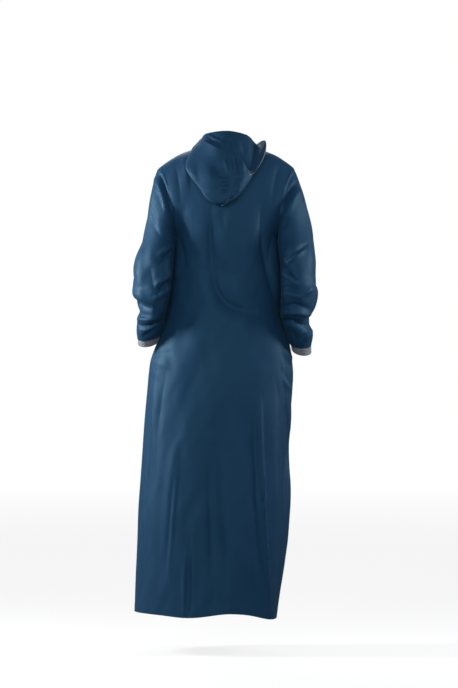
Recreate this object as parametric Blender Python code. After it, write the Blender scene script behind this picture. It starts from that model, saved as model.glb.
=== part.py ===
"""A long hooded robe as it hangs when worn: two body panels, two sleeves, two cuff bands and a
two-piece hood thrown back, with the band of its face edge. Metres, +Z up, the robe's front faces
-Y, and the origin lies between the shoulders, level with the shoulder line, where a wearer holds
it up. Left and right are the wearer's: left is +X."""

import math

import bmesh
import bpy
import numpy as np


def columns(names, rows):
    """A table as a dictionary of named columns."""
    return dict(zip(names.split(), np.array(rows, float).T))


# Cloth and seams
CLOTH = 0.0018
HOOD_CLOTH = 0.0015
SEAM_GAP = 0.0003
SLEEVE_GAP = 0.0005
HOOD_SEAM_RISE = 0.0020
HOOD_SEAM_INSET = 0.0024

# Heights of the landmarks
SHOULDER_TIP_Z = -0.036
NECK_POINT_Z = 0.018
NAPE_Z = 0.022
ARMPIT_Z = -0.235
POCKET_TOP_Z = -0.545
POCKET_BOTTOM_Z = -0.690
HEM_Z = -1.322

# Half widths and depths at the yoke
SHOULDER_HALF = 0.193
ARMPIT_HALF = 0.149
NECK_HALF = 0.072
NAPE_DEPTH = 0.062
THROAT_DEPTH = 0.075
THROAT_Z = -0.075
THROAT_SLIT_HALF = 0.012
THROAT_SLIT_REACH = 0.030
ARMHOLE_BACK = 0.070
ARMHOLE_FRONT = 0.062
POCKET_GAPE = 0.011
POCKET_NEAR = 0.16

# Powers that round the body's outline, its armholes, its shoulder and neck lines and its slits
BODY_ROUND = 0.85
YOKE_ROUND = 0.75
ARMHOLE_ROUND = 0.9
SHOULDER_ROUND = 1.8
NECK_ROUND = 1.5
POCKET_ROUND = 0.8

# Mesh counts
YOKE_ROWS = 8
SHOULDER_COLUMNS = 14
NECK_COLUMNS = 16
ROWS_TO_POCKET = 5
ROWS_ALONG_POCKET = 3
ROWS_TO_HEM = 6
CROWN_ROWS = 5
SLEEVE_ROWS = 15
BAND_ROWS = 3
HOOD_SECTIONS = 16
HOOD_COLUMNS = 26

# The body's outline at each height: how far it reaches to the left and right, back and front
BODY = columns(
    "z left right back front",
    [
        (-1.330, 0.268, 0.146, 0.166, 0.182),
        (-1.264, 0.266, 0.156, 0.163, 0.180),
        (-1.194, 0.263, 0.168, 0.160, 0.177),
        (-1.124, 0.260, 0.177, 0.157, 0.174),
        (-1.036, 0.257, 0.184, 0.154, 0.170),
        (-0.949, 0.251, 0.185, 0.150, 0.165),
        (-0.861, 0.245, 0.182, 0.146, 0.160),
        (-0.774, 0.239, 0.185, 0.142, 0.154),
        (-0.686, 0.231, 0.192, 0.138, 0.148),
        (-0.634, 0.226, 0.194, 0.135, 0.144),
        (-0.600, 0.220, 0.191, 0.132, 0.141),
        (-0.570, 0.206, 0.186, 0.129, 0.138),
        (-0.540, 0.194, 0.179, 0.126, 0.136),
        (-0.500, 0.182, 0.167, 0.120, 0.131),
        (-0.460, 0.178, 0.159, 0.114, 0.127),
        (-0.400, 0.173, 0.164, 0.108, 0.123),
        (-0.330, 0.163, 0.163, 0.106, 0.122),
        (-0.270, 0.154, 0.155, 0.110, 0.123),
        (-0.235, 0.149, 0.149, 0.113, 0.123),
    ],
)

# Hanging folds: a ridge where its height is above 0, a trough below it. Each runs from its top to
# its bottom, x is where it lies across the robe, and width is the half width of its soft crest.
FOLD_COLUMNS = "top bottom x_top x_bottom high_top high_bottom width"
BACK_FOLDS = columns(
    FOLD_COLUMNS,
    [
        (-0.62, -1.45, -0.090, -0.128, 0.004, 0.010, 0.017),
        (-0.60, -1.45, -0.166, -0.142, 0.003, 0.006, 0.016),
        (-0.70, -1.45, -0.045, -0.070, -0.002, -0.008, 0.024),
        (-0.70, -1.45, 0.030, 0.032, -0.005, -0.010, 0.026),
        (-0.74, -1.45, 0.124, 0.166, 0.004, 0.008, 0.020),
        (-0.95, -1.45, 0.080, 0.096, 0.003, 0.008, 0.018),
        (-0.66, -1.10, 0.164, 0.215, -0.005, -0.003, 0.018),
        (-0.60, -0.92, 0.190, 0.218, 0.005, 0.003, 0.016),
        (-0.17, -0.40, 0.026, 0.040, -0.004, -0.006, 0.018),
        (-0.12, -0.47, -0.082, -0.142, -0.004, -0.006, 0.016),
        (-0.14, -0.50, 0.078, 0.060, 0.005, 0.002, 0.024),
    ],
)
FRONT_FOLDS = columns(
    FOLD_COLUMNS,
    [
        (-0.60, -1.45, -0.125, -0.116, 0.004, 0.010, 0.018),
        (-0.66, -1.45, -0.070, -0.062, -0.004, -0.009, 0.020),
        (-0.72, -1.45, -0.018, -0.012, 0.003, 0.008, 0.018),
        (-0.58, -1.45, 0.042, 0.048, -0.005, -0.010, 0.024),
        (-0.70, -1.45, 0.098, 0.112, 0.004, 0.009, 0.018),
        (-0.62, -1.45, 0.140, 0.164, -0.004, -0.008, 0.020),
        (-0.64, -1.45, 0.186, 0.218, 0.003, 0.008, 0.018),
        (-0.24, -0.52, 0.066, 0.052, 0.005, 0.002, 0.020),
        (-0.22, -0.50, -0.072, -0.058, 0.005, 0.002, 0.020),
    ],
)
FOLD_FADE = 0.10
FOLD_SEAM_FADE = 0.35
FOLD_SIDEWAYS = 0.8
HEM_DIPS = columns("x low wide", [(0.060, 0.004, 0.030), (-0.125, 0.012, 0.035), (0.0, -0.006, 0.030)])
FRONT_HEM_SHARE = -0.3

# Sleeves, a row for each ring from the armhole down: x and y place its middle, wide and deep are
# its half width and half depth, and roll is how much it slopes down outwards. Above TURN_FROM_Z the
# rings' backs turn towards the body.
SLEEVE_COLUMNS = "z x wide y deep roll"
SLEEVE_LEFT = columns(
    SLEEVE_COLUMNS,
    [
        (-0.262, 0.1995, 0.0470, 0.034, 0.064, 0.00),
        (-0.310, 0.2095, 0.0550, 0.054, 0.066, 0.00),
        (-0.345, 0.2130, 0.0550, 0.063, 0.067, 0.00),
        (-0.378, 0.2150, 0.0530, 0.066, 0.066, 0.00),
        (-0.410, 0.2185, 0.0520, 0.066, 0.064, 0.02),
        (-0.437, 0.2155, 0.0430, 0.058, 0.062, 0.03),
        (-0.460, 0.2140, 0.0370, 0.046, 0.060, 0.04),
        (-0.484, 0.2205, 0.0390, 0.028, 0.057, 0.05),
        (-0.504, 0.2240, 0.0385, 0.012, 0.054, 0.10),
        (-0.524, 0.2277, 0.0325, -0.004, 0.051, 0.17),
    ],
)
SLEEVE_RIGHT = columns(
    SLEEVE_COLUMNS,
    [
        (-0.262, 0.1995, 0.0470, 0.034, 0.064, 0.00),
        (-0.310, 0.2055, 0.0490, 0.054, 0.066, 0.00),
        (-0.360, 0.2090, 0.0500, 0.062, 0.067, 0.00),
        (-0.400, 0.2125, 0.0535, 0.068, 0.066, 0.02),
        (-0.430, 0.2105, 0.0520, 0.064, 0.065, 0.03),
        (-0.455, 0.2070, 0.0480, 0.054, 0.062, 0.05),
        (-0.475, 0.2020, 0.0420, 0.044, 0.060, 0.06),
        (-0.492, 0.2045, 0.0360, 0.033, 0.058, 0.08),
        (-0.514, 0.2135, 0.0380, 0.016, 0.056, 0.10),
        (-0.550, 0.2178, 0.0308, -0.012, 0.051, 0.14),
    ],
)
RING_LEAN = 0.5
RING_TURN = 0.20
TURN_FROM_Z = -0.485
TURN_FADE = 0.080
CROWN_OUTWARD_TOP = 0.36
CROWN_OUTWARD_UNDER = 0.60
CROWN_SLOPE = 0.90
CROWN_DOWN = 0.85
CROWN_BACK = 0.15
UNDERARM_SPREAD = 1.15

# Cuff band: a facing inside each sleeve's end that shows below its edge
BAND_SHOWN = 0.025
BAND_HIDDEN = 0.012
BAND_CLEARANCE = 0.0010
BAND_TAPER = 0.05

# The hood's halves, each a net of five sections. A section runs from the neck seam up the stand and
# over its roll, down the layer that lies on the back, round the side fold and up the outer layer to
# the middle seam. The first section is the face edge and the last the middle of the back. SEAM_TURNS
# places their first points round the neck, from the throat to the nape.
SEAM_TURNS = np.radians([-62, -20, 18, 55, 90])
MIDDLE_BACK = [
    (0.000, 0.064, 0.052), (-0.002, 0.073, 0.066), (-0.002, 0.083, 0.050), (0.004, 0.118, -0.060),
    (0.010, 0.127, -0.122), (0.013, 0.131, -0.140),
]
MIDDLE_SEAM = [
    (-0.012, 0.124, 0.001), (-0.015, 0.140, -0.045), (-0.017, 0.147, -0.088), (-0.004, 0.149, -0.134),
    (0.014, 0.139, -0.149),
]
HOOD_LEFT = [
    [(0.054, -0.072, -0.012), (0.078, -0.042, 0.022), (0.091, -0.004, 0.034), (0.089, 0.038, 0.034),
     (0.069, 0.088, 0.027), (0.036, 0.116, 0.013)],
    [(0.067, -0.026, 0.026), (0.078, -0.018, 0.030), (0.102, -0.004, 0.020), (0.113, 0.039, 0.013),
     (0.107, 0.082, -0.010), (0.048, 0.122, -0.034)],
    [(0.066, 0.018, 0.040), (0.070, 0.022, 0.050), (0.075, 0.034, 0.036), (0.112, 0.075, -0.026),
     (0.114, 0.104, -0.052), (0.054, 0.140, -0.078)],
    [(0.052, 0.046, 0.048), (0.055, 0.056, 0.060), (0.059, 0.068, 0.044), (0.074, 0.110, -0.062),
     (0.062, 0.130, -0.120), (0.035, 0.146, -0.137)],
]
HOOD_RIGHT = [
    [(-0.054, -0.070, -0.010), (-0.082, -0.030, 0.026), (-0.113, 0.022, 0.040), (-0.109, 0.074, -0.006),
     (-0.070, 0.119, -0.055), (-0.050, 0.132, -0.022)],
    [(-0.070, -0.030, 0.022), (-0.086, -0.004, 0.030), (-0.098, 0.030, 0.020), (-0.088, 0.080, -0.020),
     (-0.074, 0.106, -0.052), (-0.050, 0.135, -0.048)],
    [(-0.072, 0.014, 0.034), (-0.077, 0.022, 0.040), (-0.082, 0.036, 0.026), (-0.078, 0.084, -0.030),
     (-0.070, 0.116, -0.074), (-0.045, 0.143, -0.084)],
    [(-0.052, 0.046, 0.046), (-0.056, 0.056, 0.056), (-0.058, 0.068, 0.040), (-0.052, 0.110, -0.060),
     (-0.040, 0.129, -0.112), (-0.022, 0.147, -0.128)],
]

# The band on the inside of the hood's face edge. Its sides lie at these shares of the way from the
# edge to the next row of the hood. Along the right half's turned edge, between these shares of its
# length, it stands proud.
EDGE_BAND_THICK = 0.0010
EDGE_BAND_CLEARANCE = 0.0008
EDGE_BAND_NEAR = 0.12
EDGE_BAND_FAR = 0.70
EDGE_BAND_PROUD = 0.30
PROUD_FROM = 0.42
PROUD_TO = 0.72
PROUD_FADE = 0.08

CLOTH_COLOUR = (0.013, 0.050, 0.085)
BAND_COLOUR = (0.30, 0.32, 0.34)
CLOTH_ROUGHNESS = 0.75
BAND_ROUGHNESS = 0.70


def ease(t):
    t = np.clip(t, 0, 1)
    return t * t * (3 - 2 * t)


def curve(knots, values, at):
    """A smooth cubic through values (on the first axis) at rising knots, read at the given places."""
    knots, values = np.asarray(knots, float), np.asarray(values, float)
    at = np.clip(np.asarray(at, float), knots[0], knots[-1])
    slope = np.gradient(values, knots, axis=0)
    i = np.clip(np.searchsorted(knots, at) - 1, 0, len(knots) - 2)
    span = knots[i + 1] - knots[i]
    t = (at - knots[i]) / span
    extra = (1,) * (values.ndim - 1)
    t, span = t.reshape(t.shape + extra), span.reshape(span.shape + extra)
    start = values[i] * (1 + 2 * t) * (1 - t) ** 2 + slope[i] * span * t * (1 - t) ** 2
    return start + values[i + 1] * t**2 * (3 - 2 * t) + slope[i + 1] * span * t**2 * (t - 1)


def through(table, name, at):
    """A smooth curve through one column of a table, read at heights."""
    order = np.argsort(table["z"])
    return curve(table["z"][order], table[name][order], at)


def fold_height(folds, x, z):
    """How far the hanging folds lift the cloth at places across and heights."""
    total = np.zeros(np.broadcast(x, z).shape)
    for top, bottom, x_top, x_bottom, high_top, high_bottom, width in zip(*folds.values()):
        down = np.clip((top - z) / (top - bottom), 0, 1)
        crest = x_top + (x_bottom - x_top) * down
        high = high_top + (high_bottom - high_top) * down
        shown = ease((top - z) / FOLD_FADE) * ease((z - bottom) / FOLD_FADE)
        total += high * shown * np.exp(-(((x - crest) / width) ** 2))
    return total


def hem_drop(x, back):
    """How far the hem hangs below its level."""
    drop = sum(low * np.exp(-(((x - at) / wide) ** 2)) for at, low, wide in zip(*HEM_DIPS.values()))
    return drop if back else FRONT_HEM_SHARE * drop


def armhole(turn):
    """The left armhole seam: turn is 0 at the shoulder, a quarter at the back, half at the armpit."""
    up, back = np.cos(turn), np.sin(turn)
    middle = (SHOULDER_TIP_Z + ARMPIT_Z) / 2
    z = middle + (SHOULDER_TIP_Z - middle) * up
    x = ARMPIT_HALF + (SHOULDER_HALF - ARMPIT_HALF) * ((1 + up) / 2) ** 2
    y = np.where(back > 0, ARMHOLE_BACK, ARMHOLE_FRONT) * np.sign(back) * np.abs(back) ** ARMHOLE_ROUND
    y = np.where(np.abs(back) < 1e-9, 0.0, y)
    return np.stack([x, y, z], axis=-1)


def column_angles():
    """Angles of a panel's columns from the left seam to the right, with the neck's points among them."""
    share = NECK_HALF / SHOULDER_HALF
    neck = np.arccos(share * np.cos(np.linspace(0, math.pi, NECK_COLUMNS + 1)))
    side = np.linspace(0, neck[0], SHOULDER_COLUMNS + 1)[:-1]
    return np.concatenate([side, neck, math.pi - side[::-1]])


def neck_line(inward, back):
    """(y, z) of the neck seam; inward is 0 beside the neck and 1 at its middle."""
    depth, low = (NAPE_DEPTH, NAPE_Z) if back else (-THROAT_DEPTH, THROAT_Z)
    return depth * inward, NECK_POINT_Z + (low - NECK_POINT_Z) * inward**NECK_ROUND


def top_edge(across, back):
    """(y, z) of the shoulder seams and the neck, for places across from -1 to 1."""
    x = np.abs(across) * SHOULDER_HALF
    slope = np.clip((SHOULDER_HALF - x) / (SHOULDER_HALF - NECK_HALF), 0, 1)
    shoulder_z = NECK_POINT_Z - (NECK_POINT_Z - SHOULDER_TIP_Z) * (1 - slope) ** SHOULDER_ROUND
    neck_y, neck_z = neck_line(np.sqrt(np.clip(1 - (x / NECK_HALF) ** 2, 0, 1)), back)
    in_neck = x < NECK_HALF
    return np.where(in_neck, neck_y, 0.0), np.where(in_neck, neck_z, shoulder_z)


def yoke(angle, rise, back):
    """Points between the armpits (rise 0) and the shoulder seams and neck (rise 1)."""
    across = np.cos(angle)
    side, outward = np.abs(across), np.abs(np.sin(angle)) ** BODY_ROUND
    edge = armhole(math.pi * (1 - rise) if back else math.pi * (1 + rise))
    top_y, top_z = top_edge(across, back)
    sign = 1 if back else -1
    depth = sign * through(BODY, "back" if back else "front", ARMPIT_Z)
    middle_lift = math.sin(rise * math.pi / 2) ** BODY_ROUND
    side_lift = (edge[2] - ARMPIT_Z) / (SHOULDER_TIP_Z - ARMPIT_Z)
    lift = middle_lift + (side_lift - middle_lift) * side**3
    turned = math.cos(rise * math.pi / 2) ** YOKE_ROUND if rise < 1 else 0.0
    x = edge[0] * across
    y = edge[1] * (1 - outward) + depth * outward * turned + top_y * (1 - turned)
    z = ARMPIT_Z + (top_z - ARMPIT_Z) * lift
    folds = fold_height(BACK_FOLDS if back else FRONT_FOLDS, x, z)
    y = y + sign * folds * (1 - side**4) * (1 - rise**2)
    return np.stack([x, y, z], axis=-1)


def pocket_gape(z):
    """How far the pocket slit's edges stand from the side seam's line."""
    along = np.clip((POCKET_TOP_Z - z) / (POCKET_TOP_Z - POCKET_BOTTOM_Z), 0, 1)
    return POCKET_GAPE * math.sin(math.pi * along) ** POCKET_ROUND if 0 < along < 1 else 0.0


def skirt(angle, z, back):
    """Points below the armpits at one height, the lower ones dipping a little towards the hem."""
    left, right = through(BODY, "left", z), through(BODY, "right", z)
    depth = through(BODY, "back" if back else "front", z)
    across, outward = np.cos(angle), np.abs(np.sin(angle))
    sign = 1 if back else -1
    x = (left - right) / 2 + (left + right) / 2 * across
    y = sign * depth * outward**BODY_ROUND
    lift = fold_height(BACK_FOLDS if back else FRONT_FOLDS, x, z) * ease(outward / FOLD_SEAM_FADE)
    x = x + lift * across * FOLD_SIDEWAYS
    y = y + sign * lift * outward
    y = y + sign * pocket_gape(z) * np.exp(-((outward / POCKET_NEAR) ** 2))
    low = ease((ARMPIT_Z - z) / (ARMPIT_Z - HEM_Z)) ** 3
    return np.stack([x, y, z - hem_drop(x, back) * low], axis=-1)


def panel_heights():
    """Heights of the rows below the armpits, hem first."""
    parts = [
        np.linspace(HEM_Z, POCKET_BOTTOM_Z, ROWS_TO_HEM + 1)[:-1],
        np.linspace(POCKET_BOTTOM_Z, POCKET_TOP_Z, ROWS_ALONG_POCKET + 1)[:-1],
        np.linspace(POCKET_TOP_Z, ARMPIT_Z, ROWS_TO_POCKET + 1)[:-1],
    ]
    return np.concatenate(parts)


def panel(back):
    """A body panel's grid, hem to shoulder, from the left side seam round to the right."""
    angles = column_angles()
    low = [skirt(angles, z, back) for z in panel_heights()]
    high = [yoke(angles, rise, back) for rise in np.linspace(0, 1, YOKE_ROWS + 1)]
    return np.array(low + high)


def sleeve_rings(table, side):
    """The sleeve's rings below its crown, and the arm's line at each."""
    z = np.linspace(table["z"].max(), table["z"].min(), SLEEVE_ROWS + 1)
    centre = np.stack([through(table, "x", z), through(table, "y", z), z], axis=-1)
    line = np.gradient(centre, z, axis=0) * -1
    out = np.stack([np.ones_like(z), 0 * z, -through(table, "roll", z)], axis=-1)
    turn = RING_TURN * ease((z - TURN_FROM_Z) / TURN_FADE)
    back = np.stack([-turn, np.ones_like(z), RING_LEAN * line[:, 1]], axis=-1)
    out *= through(table, "wide", z)[:, None]
    back *= through(table, "deep", z)[:, None]
    turns = np.arange(2 * YOKE_ROWS) * math.pi / YOKE_ROWS
    cos, sin = np.cos(turns)[None, :, None], np.sin(turns)[None, :, None]
    rings = centre[:, None] + out[:, None] * cos + back[:, None] * sin
    line /= np.linalg.norm(line, axis=1, keepdims=True)
    flip = np.array([side, 1, 1])
    return rings * flip, centre * flip, line * flip


def crown(first_ring, side):
    """Rings that carry the armhole seam round into the sleeve's first ring."""
    turns = np.arange(2 * YOKE_ROWS) * math.pi / YOKE_ROWS
    under = ((1 - np.cos(turns)) / 2)[:, None]
    seam = armhole(turns)
    seam[:, 0:1] += SLEEVE_GAP + CLOTH * UNDERARM_SPREAD * under
    seam *= [side, 1, 1]
    reach = np.linalg.norm(first_ring - seam, axis=1, keepdims=True)
    outward = CROWN_OUTWARD_TOP + (CROWN_OUTWARD_UNDER - CROWN_OUTWARD_TOP) * under
    start = outward * reach * [side, 0, -CROWN_SLOPE]
    end = CROWN_DOWN * reach * [0.0, CROWN_BACK, -1.0]
    rings = []
    for t in np.linspace(0, 1, CROWN_ROWS + 1)[:-1]:
        near = seam * (1 + 2 * t) * (1 - t) ** 2 + start * t * (1 - t) ** 2
        rings.append(near + first_ring * t**2 * (3 - 2 * t) + end * t**2 * (t - 1))
    return np.array(rings)


def sleeve(table, side):
    rings, _, _ = sleeve_rings(table, side)
    return np.concatenate([crown(rings[0], side), rings])


def cuff_band(table, side):
    """Rings of the facing inside a sleeve's end, from inside it to below its edge."""
    rings, centre, line = sleeve_rings(table, side)
    last, middle, along = rings[-1], centre[-1], line[-1]
    outward = last - middle
    far = np.linalg.norm(outward, axis=1, keepdims=True)
    inner = outward * (1 - (CLOTH + BAND_CLEARANCE) / far)
    steps = np.linspace(-BAND_HIDDEN, BAND_SHOWN, BAND_ROWS + 1)
    return np.array([middle + along * s + inner * (1 - BAND_TAPER * max(s, 0) / BAND_SHOWN) for s in steps])


def seam_point(turn, side):
    """A point of the hood's neck seam, just above and within the panels' edge."""
    y, z = neck_line(abs(math.sin(turn)), turn > 0)
    inset = 1 - HOOD_SEAM_INSET / NECK_HALF
    return (side * NECK_HALF * math.cos(turn) * inset, y * inset, z + HOOD_SEAM_RISE)


def hood_net(sections, side):
    """A hood half's grid: a row for each section from the face edge to the middle of the back."""
    rows = []
    for turn, stations, middle in zip(SEAM_TURNS, sections + [MIDDLE_BACK], MIDDLE_SEAM):
        points = np.array([seam_point(turn, side)] + stations + [middle])
        steps = np.linalg.norm(np.diff(points, axis=0), axis=1) ** 0.5
        knots = np.concatenate([[0], np.cumsum(steps)])
        rows.append(curve(knots, points, np.linspace(0, knots[-1], HOOD_COLUMNS + 1)))
    return curve(np.arange(len(rows)), rows, np.linspace(0, len(rows) - 1, HOOD_SECTIONS + 1))


def quads(index, wrap=False):
    """Faces of a grid of vertex numbers."""
    if wrap:
        index = np.concatenate([index, index[:, :1]], axis=1)
    corners = [index[:-1, :-1], index[:-1, 1:], index[1:, 1:], index[1:, :-1]]
    faces = np.stack(corners, axis=-1).reshape(-1, 4)
    return [tuple(dict.fromkeys(face.tolist())) for face in faces]


def sheet(grid, wrap=False):
    index = np.arange(grid.shape[0] * grid.shape[1]).reshape(grid.shape[:2])
    return grid.reshape(-1, 3), quads(index, wrap)


def slit_sheet(grid):
    """The front panel's sheet, parted along its middle above the armpits by the throat slit."""
    rows, count = grid.shape[:2]
    middle, first = count // 2, rows - 1 - YOKE_ROWS
    left, right = grid[:, : middle + 1].copy(), grid[:, middle:].copy()
    part = THROAT_SLIT_HALF * np.clip((np.arange(rows) - first) / YOKE_ROWS, 0, 1)
    for half in (left, right):
        sign = np.sign(half[:, :, 0].mean())
        near = np.clip(1 - np.abs(half[:, :, 0]) / THROAT_SLIT_REACH, 0, 1)
        half[:, :, 0] += sign * part[:, None] * near
    points = np.concatenate([left.reshape(-1, 3), right.reshape(-1, 3)])
    left_index = np.arange(left.shape[0] * left.shape[1]).reshape(left.shape[:2])
    right_index = left_index.size + np.arange(right.shape[0] * right.shape[1]).reshape(right.shape[:2])
    right_index[: first + 1, 0] = left_index[: first + 1, -1]
    faces = quads(left_index) + quads(right_index)
    used = sorted({i for face in faces for i in face})
    renumber = {old: new for new, old in enumerate(used)}
    return points[used], [tuple(renumber[i] for i in face) for face in faces]


def shared_normals(sheets):
    """Vertex normals of sheets, the same on both sides of a seam."""
    total = {}
    keys = [[tuple(p) for p in np.round(points, 5).tolist()] for points, _ in sheets]
    for (points, faces), names in zip(sheets, keys):
        for face in faces:
            a, b, c = points[face[0]], points[face[1]], points[face[2]]
            d = points[face[-1]]
            area = np.cross(c - a, d - b) if len(face) == 4 else np.cross(b - a, c - a)
            for i in face:
                total[names[i]] = total.get(names[i], 0) + area
    return [np.array([total[k] / np.linalg.norm(total[k]) for k in names]) for names in keys]


def draw_in(grid, edges):
    """Take half a seam gap off a grid's edges, given as (axis, end) pairs."""
    grid = grid.copy()
    for axis, end in edges:
        lines = np.moveaxis(grid, axis, 0)
        first, second = (lines[0], lines[1]) if end == 0 else (lines[-1], lines[-2])
        step = second - first
        first += step / np.linalg.norm(step, axis=-1, keepdims=True) * SEAM_GAP / 2
    return grid


def material(name, colour, roughness):
    made = bpy.data.materials.new(name)
    made.use_nodes = True
    shader = made.node_tree.nodes["Principled BSDF"]
    shader.inputs["Base Color"].default_value = (*colour, 1)
    shader.inputs["Roughness"].default_value = roughness
    shader.inputs["Metallic"].default_value = 0
    return made


def solid(name, points, faces, finish):
    """A mesh object from a closed body's points and faces."""
    mesh = bpy.data.meshes.new(name)
    mesh.from_pydata([tuple(p) for p in points], [], faces)
    work = bmesh.new()
    work.from_mesh(mesh)
    if work.calc_volume(signed=True) < 0:
        bmesh.ops.reverse_faces(work, faces=work.faces)
    work.to_mesh(mesh)
    work.free()
    mesh.shade_smooth()
    mesh.set_sharp_from_angle(angle=math.radians(50))
    made = bpy.data.objects.new(name, mesh)
    bpy.context.scene.collection.objects.link(made)
    mesh.materials.append(material(name + "_cloth", *finish))
    return made


def split(points, faces):
    """Triangles from faces, each four-sided one split along its shorter diagonal."""
    made = []
    for face in faces:
        if len(face) == 3:
            made.append(face)
            continue
        a, b, c, d = face
        straight = np.linalg.norm(points[a] - points[c]) <= np.linalg.norm(points[b] - points[d])
        made += [(a, b, c), (a, c, d)] if straight else [(b, c, d), (b, d, a)]
    return made


def wall(name, points, faces, normals, thickness, finish):
    """A closed wall round a sheet: half its thickness on either side, with a rim at its edges."""
    count = len(points)
    faces = split(points, faces)
    both = np.concatenate([points + normals * thickness / 2, points - normals * thickness / 2])
    skins = list(faces) + [tuple(i + count for i in reversed(face)) for face in faces]
    edges = {}
    for face in faces:
        for a, b in zip(face, face[1:] + face[:1]):
            edges[(a, b)] = (b, a) not in edges
            if (b, a) in edges:
                edges[(b, a)] = False
    rims = [(b, a, a + count, b + count) for (a, b), alone in edges.items() if alone]
    return solid(name, both, skins + rims, finish)


def face_edge_band(halves, normals):
    """The sheet and normals of the band inside the hood's face edge, corner to corner."""
    rows, facings = [], []
    for near in (True, False):
        row, facing = [], []
        for net, out, turned in zip(halves, normals, (False, True)):
            along = np.linspace(0, 1, net.shape[1])
            proud = ease((along - PROUD_FROM) / PROUD_FADE) * ease((PROUD_TO - along) / PROUD_FADE)
            share = (EDGE_BAND_NEAR if near else EDGE_BAND_FAR) - EDGE_BAND_PROUD * proud[:, None] * turned
            row.append(net[0] + (net[1] - net[0]) * share)
            facing.append(out)
        rows.append(np.concatenate([row[0], row[1][-2::-1]]))
        facings.append(np.concatenate([facing[0], facing[1][-2::-1]]))
    grid, facings = np.array(rows), np.array(facings)
    depth = HOOD_CLOTH / 2 + EDGE_BAND_CLEARANCE + EDGE_BAND_THICK / 2
    points, faces = sheet(grid + facings * depth)
    return points, faces, facings.reshape(-1, 3)


def main():
    for item in list(bpy.data.objects):
        bpy.data.objects.remove(item)

    cloth = (CLOTH_COLOUR, CLOTH_ROUGHNESS)
    band = (BAND_COLOUR, BAND_ROUGHNESS)

    seams = [(1, 0), (1, -1), (0, -1)]
    back_sheet = sheet(draw_in(panel(True), seams))
    front_sheet = slit_sheet(draw_in(panel(False), seams)[:, ::-1])
    exact = [sheet(panel(True)), slit_sheet(panel(False)[:, ::-1])]
    back_normals, front_normals = shared_normals(exact)
    wall("back_panel", *back_sheet, back_normals, CLOTH, cloth)
    wall("front_panel", *front_sheet, front_normals, CLOTH, cloth)

    for name, table, side in (("left", SLEEVE_LEFT, 1), ("right", SLEEVE_RIGHT, -1)):
        tube = sheet(sleeve(table, side), wrap=True)
        wall("sleeve_" + name, *tube, shared_normals([tube])[0], CLOTH, cloth)
        cuff = sheet(cuff_band(table, side), wrap=True)
        wall("cuff_band_" + name, *cuff, shared_normals([cuff])[0], CLOTH, band)

    halves = [hood_net(HOOD_LEFT, 1), hood_net(HOOD_RIGHT, -1)[::-1]]
    normals = shared_normals([sheet(half) for half in halves])
    middles = ([(0, -1), (1, -1)], [(0, 0), (1, -1)])
    for name, half, facing, drawn in zip(("left", "right"), halves, normals, middles):
        wall("hood_" + name, *sheet(draw_in(half, drawn)), facing, HOOD_CLOTH, cloth)

    count = HOOD_COLUMNS + 1
    edge_nets = [halves[0], halves[1][::-1]]
    edge_normals = [normals[0][:count], normals[1][-count:]]
    wall("hood_edge_band", *face_edge_band(edge_nets, edge_normals), EDGE_BAND_THICK, band)


main()
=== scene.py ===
"""The looks of a long hooded robe as it hangs when worn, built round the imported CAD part. Metres, +Z
up, the robe's front faces -Y, and left and right are the wearer's: left is +X. The camera stands
behind the robe, at +Y."""

import math

import bpy
import numpy as np
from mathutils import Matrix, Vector


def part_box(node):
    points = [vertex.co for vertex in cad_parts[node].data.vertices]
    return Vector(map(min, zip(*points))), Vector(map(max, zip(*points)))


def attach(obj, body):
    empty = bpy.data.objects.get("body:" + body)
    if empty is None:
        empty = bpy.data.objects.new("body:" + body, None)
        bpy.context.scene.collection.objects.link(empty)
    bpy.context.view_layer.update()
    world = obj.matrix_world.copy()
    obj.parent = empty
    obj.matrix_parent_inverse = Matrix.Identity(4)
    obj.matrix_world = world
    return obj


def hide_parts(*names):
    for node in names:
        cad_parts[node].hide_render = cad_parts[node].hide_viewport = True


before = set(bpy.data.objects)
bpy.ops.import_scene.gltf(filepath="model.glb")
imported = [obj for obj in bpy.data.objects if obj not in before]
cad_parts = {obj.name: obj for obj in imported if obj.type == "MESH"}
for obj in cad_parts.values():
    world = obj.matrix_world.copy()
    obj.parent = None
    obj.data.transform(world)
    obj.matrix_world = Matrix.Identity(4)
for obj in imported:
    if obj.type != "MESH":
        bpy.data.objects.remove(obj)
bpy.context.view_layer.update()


def columns(names, rows):
    """A table as a dictionary of named columns."""
    return dict(zip(names.split(), np.array(rows, float).T))


def creases(rows):
    """A table of creases drawn on one elevation. Each runs through three points (across,
    height), high is its crest's height or its trough's depth, wide the half width of its slopes, and
    lean makes the slope on the left of its run wider and the other steeper."""
    return columns("a1 z1 a2 z2 a3 z3 high wide lean", rows)


# Cloth and seams
CLOTH = 0.0009
HEM_CLOTH = 0.0016
BAND_CLOTH = 0.0010
SEAM_ROLL = 0.0006
SEAM_ALLOWANCE = 0.0040
SLEEVE_GAP = 0.0004
UNDERARM_GAP = -0.0010
HOOD_SEAM_RISE = 0.0015
HOOD_SEAM_INSET = 0.0022

# Heights of the landmarks, as in the CAD part but for the hem, which hangs 9 mm lower
SHOULDER_TIP_Z = -0.036
NECK_POINT_Z = 0.018
NAPE_Z = 0.022
ARMPIT_Z = -0.235
POCKET_TOP_Z = -0.545
POCKET_BOTTOM_Z = -0.690
HEM_Z = -1.331

# Half widths and depths at the yoke
SHOULDER_HALF = 0.193
ARMPIT_HALF = 0.149
NECK_HALF = 0.072
NAPE_DEPTH = 0.062
THROAT_DEPTH = 0.075
THROAT_Z = -0.075
THROAT_SLIT_HALF = 0.012
THROAT_SLIT_REACH = 0.030
ARMHOLE_BACK = 0.070
ARMHOLE_FRONT = 0.062
POCKET_GAPE = 0.011
POCKET_NEAR = 0.16

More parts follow.
